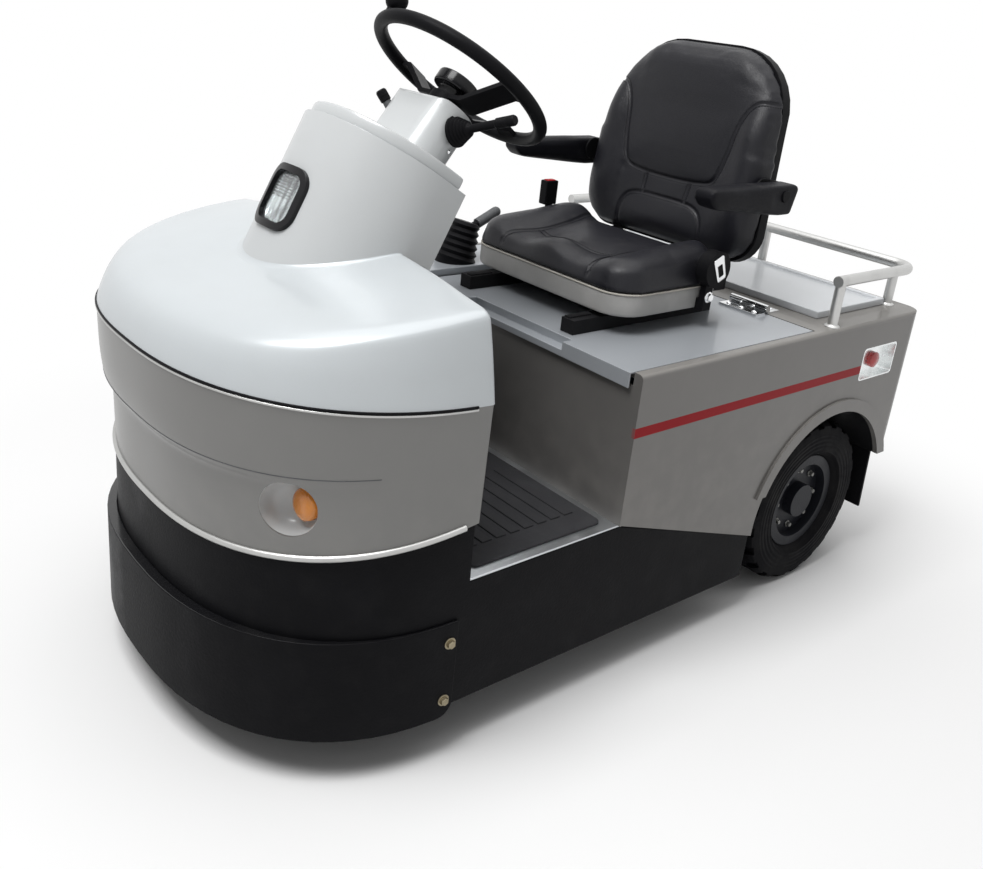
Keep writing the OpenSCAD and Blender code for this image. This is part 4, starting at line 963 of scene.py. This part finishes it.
def seat_cushion():
    half_x, half_y = SEAT_W / 2 - 0.004, CUSHION_L / 2 - 0.004

    def inside(x, y):
        return rounded_box_distance(x, y, half_x, half_y, 0.075)

    def top(x, y):
        v = (y + half_y) / (2 * half_y)
        bolster = ramp(np.abs(x), 0.115, 0.19) * (0.010 + 0.022 * v)
        horn = np.exp(-(x / 0.05) ** 2) * (1 - ramp(v, 0.0, 0.42)) * 0.012
        trough = np.exp(-((np.abs(x) - 0.085) / 0.05) ** 2) * (1 - ramp(v, 0.1, 0.9)) * 0.010
        crown = 0.046 + 0.008 * v + bolster + horn - trough
        return 0.004 + (crown - 0.004) * edge_roll(inside(x, y), 0.055)

    def low(x, y):
        return 0.002 - 0.002 * edge_roll(inside(x, y), 0.012)

    middle = Vector((SEAT_X, CUSHION_Y, CUSHION_Z))
    pad = pad_mesh("seat_pad", half_x, half_y, inside, top, low, lambda p: p + middle)

    def flat(co):
        return co[:, :2] - np.array(middle)[:2]

    def held(co):
        seam = np.exp(-(seam_distance(flat(co), CUSHION_SEAMS) / SEAM_HOLD) ** 2)
        return np.maximum(seam, 1 - ramp(co[:, 2], CUSHION_Z + 0.004, CUSHION_Z + 0.012))

    stuff(pad, held, 0.012)
    sew(pad, flat, CUSHION_SEAMS, UP)
    put(smooth(pad, 70), SEAT_VINYL, "lid", "seat_vinyl", "seat_cushion")
    stitch_seams("cushion_stitches", pad, CUSHION_SEAMS,
                 lambda p: (middle + Vector((p[0], p[1], 0.2)), Vector((0, 0, -1))), "lid")


def on_back(p):
    """From the backrest's own axes (across, up, forward) to the frame."""
    return Vector((SEAT_X + p.x, BACK_Y + p.y * sin(BACK_LEAN) - p.z * cos(BACK_LEAN),
                   BACK_Z + p.y * cos(BACK_LEAN) + p.z * sin(BACK_LEAN)))


def back_pad():
    half_x, half_y = SEAT_W / 2 - 0.003, BACK_H / 2 - 0.003

    def inside(x, y):
        narrow = 0.022 * ramp(y, -0.1, 0.22)
        return np.where(y > 0, rounded_box_distance(x, y, half_x - narrow, half_y, 0.150),
                        rounded_box_distance(x, y, half_x, half_y, 0.070))

    def top(x, y):
        up = y + half_y
        side = ramp(np.abs(x), 0.13, 0.2) * ramp(up, 0.0, 0.12) * (1 - ramp(up, 0.26, 0.37))
        panel = (1 - ramp(np.abs(x), 0.13, 0.17)) * ramp(up, 0.14, 0.17)
        lumbar = np.exp(-(x / 0.11) ** 2 - ((up - 0.05) / 0.05) ** 2)
        rise = BACK_T - 0.012 + 0.022 * side + 0.006 * panel + 0.012 * lumbar
        return rise * edge_roll(inside(x, y), 0.05) - BACK_T

    def low(x, y):
        return -BACK_T + 0 * x - 0.001

    centre = Vector((0, BACK_H / 2, 0))
    pad = pad_mesh("back_pad", half_x, half_y, inside, top, low, lambda p: on_back(p + centre))
    up = np.array((0, sin(BACK_LEAN), cos(BACK_LEAN)))
    forward = np.array((0, -cos(BACK_LEAN), sin(BACK_LEAN)))
    origin = np.array((SEAT_X, BACK_Y, BACK_Z))

    def flat(co):
        return np.stack([co[:, 0] - origin[0], (co - origin) @ up], 1)

    def held(co):
        seam = np.exp(-(seam_distance(flat(co), BACK_SEAMS) / SEAM_HOLD) ** 2)
        return np.maximum(seam, 1 - ramp((co - origin) @ forward, 0.006 - BACK_T, 0.014 - BACK_T))

    stuff(pad, held, 0.010)
    sew(pad, flat, BACK_SEAMS, forward)
    put(smooth(pad, 70), SEAT_VINYL, "lid", "seat_vinyl", "backrest_cushion")
    stitch_seams("backrest_stitches", pad, BACK_SEAMS,
                 lambda p: (on_back(Vector((p[0], p[1], 0.2))), -Vector(forward)), "lid")


def armrest_pad(side):
    """A wedge-shaped armrest pad, filled out and bored for its pin."""
    node = "armrest_left" if side > 0 else "armrest_right"
    low, high = (Vector(corner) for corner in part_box(node))
    pin = ARM_PIN
    tip, heel = low.y + 0.004, high.y - 0.004
    inset = 0.0035
    # Points of (y, z) from the tip back along the underside
    outline = [(tip, pin.z + 0.001), (tip + 0.018, pin.z - 0.0165),
               (pin.y - 0.004, low.z + inset), (pin.y + 0.032, low.z + inset),
               (heel - 0.002, high.z - 0.012), (heel - 0.010, high.z - inset),
               (tip + 0.010, high.z - inset), (tip + 0.001, high.z - 0.010)]
    count = len(outline)
    points = [(x, y, z) for x in (low.x + inset, high.x - inset) for y, z in outline]
    faces = [tuple(range(count)), tuple(reversed(range(count, 2 * count)))]
    faces += [(k, k + count, (k + 1) % count + count, (k + 1) % count) for k in range(count)]
    pad = new_mesh(node + "_pad", points, faces)
    modify(pad, "BEVEL", width=0.006, segments=3, limit_method="ANGLE", angle_limit=radians(30))
    settle(pad)
    outwards(pad)

    def held(co):
        return 1 - ramp(np.hypot(co[:, 1] - pin.y, co[:, 2] - pin.z), 0.024, 0.040)

    stuff(pad, held, 0.002, 0.004, 2.0)
    bore(pad, (low.x - 0.01, pin.y, pin.z), 0.0128, 0.1, ACROSS)
    put(smooth(pad, 50), ARM_VINYL, node, "seat_vinyl", node)


STITCH_OFFSET = 0.0055
STITCH_SPACING = 0.0062


def stitch_seams(name, pad, lines, lift, body):
    """Stitches on both sides of each sewn channel, laid on the pad from above."""
    tree = surface(pad.data)
    laid = []
    for line in lines:
        for offset in (-STITCH_OFFSET, STITCH_OFFSET):
            row = []
            for k, p in enumerate(line):
                ahead = line[min(k + 1, len(line) - 1)] - line[max(k - 1, 0)]
                beside = np.array((-ahead[1], ahead[0])) / max(np.hypot(*ahead), 1e-9)
                start, direction = lift(p + beside * offset)
                hit = tree.ray_cast(start, direction)[0]
                if hit is not None:
                    row.append(hit - direction * 0.0003)
            if len(row) > 2:
                laid.append(row)
    piece = bar(0.0042, 0.0011, 0.0009)
    obj = STITCHES.run(line_mesh(name, laid), Piece=piece, Spacing=STITCH_SPACING, Material=THREAD)
    bpy.data.objects.remove(piece)
    put(smooth(obj, 40), THREAD, body, "seat_vinyl")


# Lamp, column and small fittings

def indicators():
    """Round pockets in the band, each with an amber lens that looks forward from the pocket's rear wall."""
    # Profiles of (depth, radius), and the lens's of (height, radius)
    inner = [(0.0415, 0.0015), (0.041, 0.012), (0.038, 0.024), (0.031, 0.035), (0.021, 0.0425),
             (0.009, 0.0465), (0.001, 0.0478)]
    outer = [(0.001, 0.0490), (0.010, 0.0485), (0.022, 0.0447), (0.033, 0.0370), (0.040, 0.0255),
             (0.0432, 0.0125), (0.0437, 0.0015)]
    dome = [(0.0, 0.027), (0.008, 0.0275), (0.014, 0.0262), (0.0185, 0.0215), (0.0205, 0.0145),
            (0.0212, 0.006)]
    dome_root, dome_out = Vector((0.0035, 0.0365, 0.002)), Vector((0.08, -1, 0.03))
    bowls, lenses = [], []
    for side in SIDES:
        out = on_side(side, INDICATOR_OUT)
        at = on_side(side, INDICATOR) - out * 0.003
        bowls.append(lathe("bowl", inner + outer, 48, at, -out))
        lenses.append(lathe("dome", dome, 32, at + on_side(side, dome_root), on_side(side, dome_out)))
    pockets = smooth(outwards(joined("indicator_pockets", bowls)), 40)
    put(pockets, COWL_PAINT, "chassis", "lamp_bowl", "indicator_bowls")
    domes = smooth(outwards(joined("indicator_domes", lenses)), 40)
    put(domes, AMBER_LENS, "chassis", "amber_lens", "indicator_lenses")


def lamp_point(u, v, w):
    """From the headlamp's own axes (across, up, outwards) to the frame."""
    c, s = cos(COWL_LEAN), sin(COWL_LEAN)
    return LAMP + Vector((u, v * s - w * c, v * c + w * s))


def headlamp():
    """Glass and reflector, both curved with the cowl."""
    edge = rounded_outline(0.0443, 0.0443, 0.0205)

    def ringed(name, depths):
        """Rings from the rim inwards, each (share, depth), on the cowl's curve; both ends are capped."""
        points = []
        for share, depth in depths:
            for u, v in edge:
                bulge = sqrt((COWL_R - 0.002) ** 2 - (u * share) ** 2) - COWL_R
                points.append(lamp_point(u * share, v * share, bulge + depth))
        return new_mesh(name, points, ring_faces(len(depths), len(edge)))

    face = [(s / 20, 0) for s in range(18, 0, -2)]
    glass = ringed("headlamp_glass", [(1, -0.0035), (1, -0.0008), (0.97, 0)] + face)
    put(smooth(outwards(glass), 40), CLEAR_LENS, "chassis", "clear_lens", "headlamp_lens")
    bowl = [(0.99, -0.0075)] + [(s / 12, -0.0095 - 0.014 * (1 - (s / 12) ** 2)) for s in range(11, 1, -1)]
    reflector = ringed("headlamp_reflector", [(0.99, -0.026)] + bowl)
    put(smooth(outwards(reflector), 40), LAMP_BOWL, "chassis", "lamp_bowl")


def column_point(x, y, z):
    """From the steering column's own axes to the frame."""
    c, s = cos(COLUMN_TILT), sin(COLUMN_TILT)
    return Vector((x, y * c + z * s, z * c - y * s))


def stalks():
    """Indicator stalk in its bellows on the left, and the drive lever on the right."""
    # Profiles of (height, radius)
    folds = [(0.017, 0.0285)]
    for k in range(6):
        h, r = 0.018 + 0.0056 * k, mix(0.0265, 0.0125, k / 5)
        crest = r + 0.0022
        folds += [(h + 0.0008, r), (h + 0.0022, crest), (h + 0.0036, crest), (h + 0.0050, r - 0.0008)]
    folds += [(0.052, 0.0110), (0.056, 0.0080)]
    tip = [(0.112, 0.0080), (0.1145, 0.0098)]
    for k in range(5):
        tip += [(0.117 + 0.004 * k, 0.0098), (0.1182 + 0.004 * k, 0.0091), (0.1195 + 0.004 * k, 0.0098)]
    tip += [(0.150, 0.0098), (0.1535, 0.0080)]
    root = WHEEL_AT + column_point(0.074, -0.010, -0.114)
    tilt = radians(68)
    lean = column_point(sin(tilt), 0, cos(tilt))
    left = lathe("indicator_stalk", folds + [(0.057, 0.0076), (0.110, 0.0078)] + tip, 28, root, lean)
    put(smooth(left, 30), PLASTIC, "chassis", "black_plastic", "column_stalks")
    root = WHEEL_AT + column_point(-0.076, -0.020, -0.118)
    pitch, turn = radians(48), radians(49)
    lean = column_point(-sin(turn) * cos(pitch), -sin(pitch), cos(turn) * cos(pitch))
    stem = lathe("drive_lever_stem", [(0.014, 0.0098), (0.017, 0.0088), (0.0375, 0.0084)], 24, root, lean)
    put(smooth(stem, 30), GREY_PLASTIC, "chassis", "black_plastic")
    cap = lathe("drive_lever_cap", [(0.038, 0.0088), (0.039, 0.0104), (0.046, 0.0108), (0.0468, 0.0100),
                                    (0.0478, 0.0108), (0.058, 0.0106), (0.0612, 0.0086)], 24, root, lean)
    put(smooth(cap, 30), PLASTIC, "chassis", "black_plastic")


def lever_grip():
    """Ribbed grey sleeve on the parking-brake lever."""
    lean, foot_lean, foot_l = radians(65), radians(16), 0.0665
    root = Vector((-0.278, Y_BOX + 0.120 + foot_l * sin(foot_lean), 0.6847 + foot_l * cos(foot_lean)))
    profile = [(0.0462, 0.0100), (0.0465, 0.0124)]
    for k in range(9):
        h = 0.050 + 0.006 * k
        profile += [(h, 0.0124), (h + 0.0012, 0.0121), (h + 0.0024, 0.0124)]
    profile += [(0.1075, 0.0124), (0.1125, 0.0112), (0.1165, 0.0080), (0.1192, 0.0030)]
    sleeve = lathe("lever_grip", profile, 24, root, (0, sin(lean), cos(lean)))
    put(smooth(outwards(sleeve), 40), GREY_PLASTIC, BODY["brake_lever"], "black_plastic")


def floor_covering():
    """Rubber mat with raised bars in two directions inside a plain border."""
    low, high = (Vector(corner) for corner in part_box("floor_mat"))
    middle = (low + high) / 2
    outline = rounded_outline((high.x - low.x) / 2, (high.y - low.y) / 2, 0.014)
    top, pitch, rise = low.z + 0.005, 0.034, 0.0028
    levels = ((1, low.z), (1, top - 0.0008), (0.996, top))
    points = [(middle.x + x * k, middle.y + y * k, z) for k, z in levels for x, y in outline]
    base = new_mesh("mat_base", points, ring_faces(len(levels), len(outline)))
    put(smooth(base, 30), MAT_RUBBER, "chassis", "mat_rubber", "floor_mat")
    long_bars = [((side * 0.262, low.y + 0.040 + pitch * k, top), UP, ACROSS)
                 for side in SIDES for k in range(8)]
    scatter("mat_long_bars", bar(0.215, 0.022, rise), MAT_RUBBER, "chassis", "mat_rubber", long_bars)
    slant = [((pitch * (k - 3), low.y + 0.078 + 0.16 * row, top), UP, (slope, 1.0, 0))
             for row, slope in ((0, 0.6), (1, -0.6)) for k in range(7)]
    scatter("mat_slant_bars", bar(0.120, 0.018, rise), MAT_RUBBER, "chassis", "mat_rubber", slant)


def ring_plate(name, outer, inner, thickness, place):
    """A flat plate with a window; place turns (x, y, z) into a point of the frame."""
    count = len(outer)
    points = [place(Vector((x, y, z))) for z in (0, thickness) for x, y in outer + inner]
    faces = []
    for k in range(count):
        n = (k + 1) % count
        a, b, c, d = k, n, count + n, count + k
        faces += [(d, c, b, a), tuple(v + 2 * count for v in (a, b, c, d)),
                  (a, b, b + 2 * count, a + 2 * count), (c, d, d + 2 * count, c + 2 * count)]
    return new_mesh(name, points, faces)


def belt():
    """The belt's tongue on its reel, the bolt of the reel's stem and the buckle's button."""
    reel_side = Vector(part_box("belt_retractor")[1]).x + 0.0004
    tongue_y, tongue_z, turn = 0.1745, 0.803, radians(24)
    stem_y, stem_z = 0.1725, 0.738
    buckle_x = -0.2202

    def on_reel(p):
        return Vector((reel_side + p.z, tongue_y + p.x * cos(turn) - p.y * sin(turn),
                       tongue_z + p.x * sin(turn) + p.y * cos(turn)))
    outer = [(x * (1 - 0.16 * (y < 0)), y) for x, y in rounded_outline(0.0155, 0.027, 0.005)]
    inner = [(x, y - 0.004) for x, y in rounded_outline(0.0075, 0.0135, 0.003)]
    tongue = ring_plate("belt_tongue", outer, inner, 0.0022, on_reel)
    modify(tongue, "BEVEL", width=0.0004, segments=2, limit_method="ANGLE", angle_limit=radians(50))
    put(smooth(settle(tongue), 40), CHROME, "lid", "bright_metal")
    reel = surface(frame["nodes"]["belt_retractor"].data)
    stem = reel.ray_cast(Vector((HALF_W, stem_y, stem_z)), -Vector(ACROSS))[0]
    scatter("stem_bolt", hex_head(0.0085, 0.009), CHROME, "lid", "bright_metal", [(stem, ACROSS, UP)])
    low, high = (Vector(corner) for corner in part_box("belt_buckle"))
    button = bar(0.026, 0.015, 0.005)
    scatter("buckle_button", button, RED_BUTTON, "lid", "red_lens",
            [((buckle_x, (low.y + high.y) / 2, high.z - 0.0032), UP, BACK)])


def seat_trim():
    """Edge of the seat pan, the bar behind the cushion and the teeth of the slides."""
    low, high = (Vector(corner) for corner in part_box("seat_pan"))
    middle = (low + high) / 2
    outline = rounded_outline((high.x - low.x) / 2 - 0.001, (high.y - low.y) / 2 - 0.001, 0.069, 12)
    loop = [(middle.x + x, middle.y + y, high.z - 0.003) for x, y in outline + outline[:1]]
    bead("pan_edge", [loop], 0.0022, PAN_EDGE, "lid", "pan_plastic", 8)
    crossbar = (SEAT_X, 0.2620, 0.7615)
    scatter("seat_crossbar", bar(0.300, 0.013, 0.020, 0.1), TRIM_METAL, "lid", "bright_metal",
            [(crossbar, UP, ACROSS)])
    slide_x, first_y, pitch, slide_z = 0.159, -0.126, 0.0052, 0.6988
    teeth = [((SEAT_X + side * slide_x, first_y + pitch * k, slide_z), UP, ACROSS)
             for side in SIDES for k in range(12)]
    scatter("slide_teeth", bar(0.016, 0.0026, 0.0042), FRAME_PAINT, "lid", "frame_paint", teeth)


# Heights that fasteners stand on
HINGE_TOP = 0.6728
RAIL_FOOT = 0.6688
CELL_TOP = 0.6338
# Places of (y, z) on the side walls, and of (x, y) on the deck
BUMPER_BOLTS = ((-0.5625, 0.244), (-0.5655, 0.126))
TAIL_LAMP_SCREWS = ((0.620, 0.564), (0.731, 0.564))
RAIL_FEET = ((-0.424, 0.4805), (0.424, 0.4805), (-0.376, 0.7935), (0.376, 0.7935), (0, 0.7935))
CELL_PITCH_X, CELL_PITCH_Y = 0.09, 0.1


def wheel_nuts(body, centre, x, out):
    """Eight nuts round a wheel's hub, on the face at x that looks out."""
    ring = 0.074
    places = [((x, centre.y + ring * cos(pi * k / 4), centre.z + ring * sin(pi * k / 4)), (out, 0, 0), UP)
              for k in range(8)]
    scatter(body + "_nuts", hex_head(0.0062, 0.011), NUT_METAL, body, "bright_metal", places)


def fasteners():
    """Bolts, nuts, screws and collars, then the battery's caps and links and the pedals' treads."""
    bolts = [((side * 0.4490, y, z), (side, -0.06, 0), UP) for side in SIDES for y, z in BUMPER_BOLTS]
    scatter("bumper_bolts", hex_head(0.0080, 0.0085), BRASS, "chassis", "bright_metal", bolts)
    wheel_nuts("rear_wheel_left", REAR_WHEEL, 0.3873, 1)
    wheel_nuts("rear_wheel_right", REAR_WHEEL, -0.3873, -1)
    wheel_nuts("front_wheel", FRONT_WHEEL, 0.0163, 1)
    for body, y in (("lid", 0.380), ("chassis", 0.4395)):
        screws = [((side * 0.25 + x, y, HINGE_TOP), UP, ACROSS)
                  for side in SIDES for x in (-0.036, 0, 0.036)]
        scatter(body + "_hinge_screws", dome_head(0.0062, 0.0036), CHROME, body, "bright_metal", screws)
    collar = lathe("collar", [(0, 0.0175), (0.002, 0.0172), (0.0042, 0.0140), (0.0062, 0.0122)], 20)
    feet = [((x, y, RAIL_FOOT), UP, ACROSS) for x, y in RAIL_FEET]
    scatter("rail_collars", collar, RAIL_METAL, "chassis", "rail_metal", feet)
    small = [((side * 0.4318, y, z), (side, 0, 0), UP) for side in SIDES for y, z in TAIL_LAMP_SCREWS]
    small += [((side * 0.0896, -0.372, 1.012), (side, 0, 0), UP) for side in (1, -1)]
    scatter("panel_screws", dome_head(0.0042, 0.0024), CHROME, "chassis", "bright_metal", small)
    jaw = [((x, 0.8593, z), BACK, ACROSS) for x in (-0.047, 0.047) for z in (0.276, 0.424)]
    scatter("jaw_bolts", hex_head(0.0095, 0.010), CAST_BLACK, "chassis", "cast_black", jaw)
    cell_x = [CELL_PITCH_X * (i - 2.5) for i in range(6)]
    cell_y = [-0.089 + CELL_PITCH_Y * j for j in range(5)]
    caps = [((x, y, CELL_TOP), UP, ACROSS) for x in cell_x for y in cell_y]
    cap = [(0, 0.019), (0.006, 0.0185), (0.007, 0.014), (0.0115, 0.0135), (0.0125, 0.012)]
    scatter("cell_caps", lathe("cell", cap, 16), GREY_PLASTIC, "chassis", "battery_case", caps)
    links = [((x, y + CELL_PITCH_Y / 2, CELL_TOP + 0.0001), UP, BACK) for x in cell_x for y in cell_y[:-1]]
    scatter("cell_links", bar(0.062, 0.016, 0.004), BRASS, "chassis", "bright_metal", links)
    treads = []
    lean = radians(32)
    pedal = Vector((0.095, Y_NOSE + 0.048, 0.420))
    for side in SIDES:
        for k in range(7):
            rise = 0.014 * (k - 3)
            at = on_side(side, pedal) + Vector((0, -rise * sin(lean), rise * cos(lean)))
            treads.append((at, (0, cos(lean), sin(lean)), ACROSS))
    scatter("pedal_treads", bar(0.060, 0.0065, 0.0032), MAT_RUBBER, "chassis", "mat_rubber", treads)


# Camera, floor and light

CAMERA_AT = Vector((1.5481, -1.5026, 1.2974))
CAMERA_AZIMUTH, CAMERA_RISE, CAMERA_ROLL = radians(48.57), radians(20.67), radians(5.94)
FOCAL_PX, WIDTH_PX, HEIGHT_PX = 1005.93, 983, 869
AXIS_PX = 369.0


def photo_camera():
    """The photo's camera, as solved from the picture."""
    right = Vector((cos(CAMERA_AZIMUTH), sin(CAMERA_AZIMUTH), 0))
    level = cos(CAMERA_RISE)
    back = Vector((right.y * level, -right.x * level, sin(CAMERA_RISE)))
    up = back.cross(right)
    rolled_right = right * cos(CAMERA_ROLL) + up * sin(CAMERA_ROLL)
    rolled_up = up * cos(CAMERA_ROLL) - right * sin(CAMERA_ROLL)
    data = bpy.data.cameras.new("photo_camera")
    data.sensor_width = 36
    data.lens = FOCAL_PX / WIDTH_PX * data.sensor_width
    data.shift_y = (AXIS_PX - HEIGHT_PX / 2) / WIDTH_PX
    camera = bpy.data.objects.new("photo_camera", data)
    turn = Matrix((rolled_right, rolled_up, back)).transposed().to_4x4()
    camera.matrix_world = Matrix.Translation(CAMERA_AT) @ turn
    scene.collection.objects.link(camera)
    scene.camera = camera


def area_light(name, at, target, size, power):
    data = bpy.data.lights.new(name, "AREA")
    data.shape = "RECTANGLE"
    data.size, data.size_y = size
    data.energy = power
    light = bpy.data.objects.new(name, data)
    light.location = at
    light.rotation_euler = (Vector(at) - Vector(target)).to_track_quat("Z", "Y").to_euler()
    scene.collection.objects.link(light)


def seen_directly(nodes):
    """1 for rays that come from the camera, a mirror or glass, 0 for light."""
    seen = nodes.add("ShaderNodeLightPath", output="Is Camera Ray")
    for name in ("Is Glossy Ray", "Is Transmission Ray"):
        seen = nodes.add("ShaderNodeMath", {"operation": "MAXIMUM"},
                         {0: seen, 1: nodes.add("ShaderNodeLightPath", output=name)})
    return seen


WORLD_LEVEL = 0.26
FLOOR_HALF = 30


def studio():
    """A pale floor that fades to white, an even world and two lamps overhead."""
    corners = [(x * FLOOR_HALF, y * FLOOR_HALF, 0) for x, y in ((-1, -1), (1, -1), (1, 1), (-1, 1))]
    floor = new_mesh("floor", corners, [(0, 1, 2, 3)])
    pale = Finish("floor_pale", (0.88, 0.88, 0.88), 0.9, Specular_IOR_Level=0.1)
    pale.set("Base Color", pale.mix(pale.noise(2.0, 3) * 0.3, (0.90, 0.90, 0.90, 1), (0.86, 0.86, 0.86, 1)))
    at = pale.place((0.1, -0.1, 0))
    fade = ((pale.axis("X", at) ** 2 + pale.axis("Y", at) ** 2) ** 0.5).ramp(0.75, 1.9)
    white = pale.add("ShaderNodeEmission", None, {"Color": (1, 1, 1, 1), "Strength": 1.0})
    near = Number(pale, pale.shader.outputs[0])
    mixed = pale.add("ShaderNodeMixShader", None, {0: fade * seen_directly(pale), 1: near, 2: white})
    pale.feed(pale.tree.nodes["Material Output"].inputs["Surface"], mixed)
    floor.data.materials.append(pale.material)
    world = bpy.data.worlds.new("studio")
    scene.world = world
    world.use_nodes = True
    sky = Nodes(world.node_tree)
    level = sky.add("ShaderNodeMapRange", None, {0: seen_directly(sky), 3: WORLD_LEVEL, 4: 1.0})
    backdrop = world.node_tree.nodes["Background"]
    sky.feed(backdrop.inputs["Strength"], level)
    sky.feed(backdrop.inputs["Color"], (1, 1, 1, 1))
    area_light("key", (0.3, -2.1, 4.4), (0, -0.4, 0.7), (2.0, 2.0), 160)
    area_light("top", (0.1, 0.7, 4.4), (0, 0.3, 0.6), (4.2, 4.2), 72)
    scene.view_settings.view_transform = "Standard"


photo_camera()
studio()
nose()
seat_cushion()
back_pad()
for side in SIDES:
    armrest_pad(side)
indicators()
headlamp()
stalks()
lever_grip()
floor_covering()
belt()
seat_trim()
fasteners()

# Solids shown as they are: finish, width of the softened edge
DRESSED = {
    "chassis_frame": (FRAME_PAINT, 0.002), "chassis_skirt": (SKIRT_PAINT, 0.003),
    "front_bumper": (BUMPER_PAINT, 0.005), "column_cowl": (COWL_PAINT, 0.004),
    "cowl_cap": (COWL_PAINT, 0.006), "column_neck": (COWL_PAINT, 0.003),
    "headlamp_bezel": (GLOSS_BLACK, 0.003), "dash_panel": (PLASTIC, 0.001), "pedals": (PLASTIC, 0.002),
    "floor_plate": (STEP_METAL, 0.001), "rear_body": (BODY_PAINT, 0.002),
    "wheel_houses": (PLASTIC, 0.001), "tail_lamp_housings": (LAMP_BOWL, 0.001),
    "tail_lamp_lenses": (RED_LENS, 0.001), "luggage_deck": (TRAY_PAINT, 0.003),
    "rear_rail": (RAIL_METAL, 0.0), "deck_hinges": (CHROME, 0.0005), "mudflaps": (PLASTIC, 0.001),
    "rear_axle": (CAST_BLACK, 0.002), "battery": (BATTERY_CASE, 0.004), "tow_jaw": (CAST_BLACK, 0.002),
    "brake_console": (DECK_PAINT, 0.004), "brake_lever": (PLASTIC, 0.001),
    "battery_lid": (DECK_PAINT, 0.0015), "lid_hinges": (CHROME, 0.0005),
    "seat_rails": (FRAME_PAINT, 0.001), "seat_pan": (PAN_PLASTIC, 0.008),
    "backrest_shell": (PLASTIC, 0.003), "belt_retractor": (PLASTIC, 0.003),
    "belt_buckle": (PLASTIC, 0.003), "steering_wheel": (PLASTIC, 0.002),
    "horn_button": (GLOSS_BLACK, 0.004), "steering_fork": (CAST_BLACK, 0.002),
    "front_rim": (RIM_PAINT, 0.001), "front_tyre": (FRONT_TYRE, 0.002),
    "rear_rim_left": (RIM_PAINT, 0.001), "rear_tyre_left": (REAR_TYRE, 0.002),
    "rear_rim_right": (RIM_PAINT, 0.001), "rear_tyre_right": (REAR_TYRE, 0.002),
}
for node, (finish, edge) in DRESSED.items():
    dress(node, finish, edge)
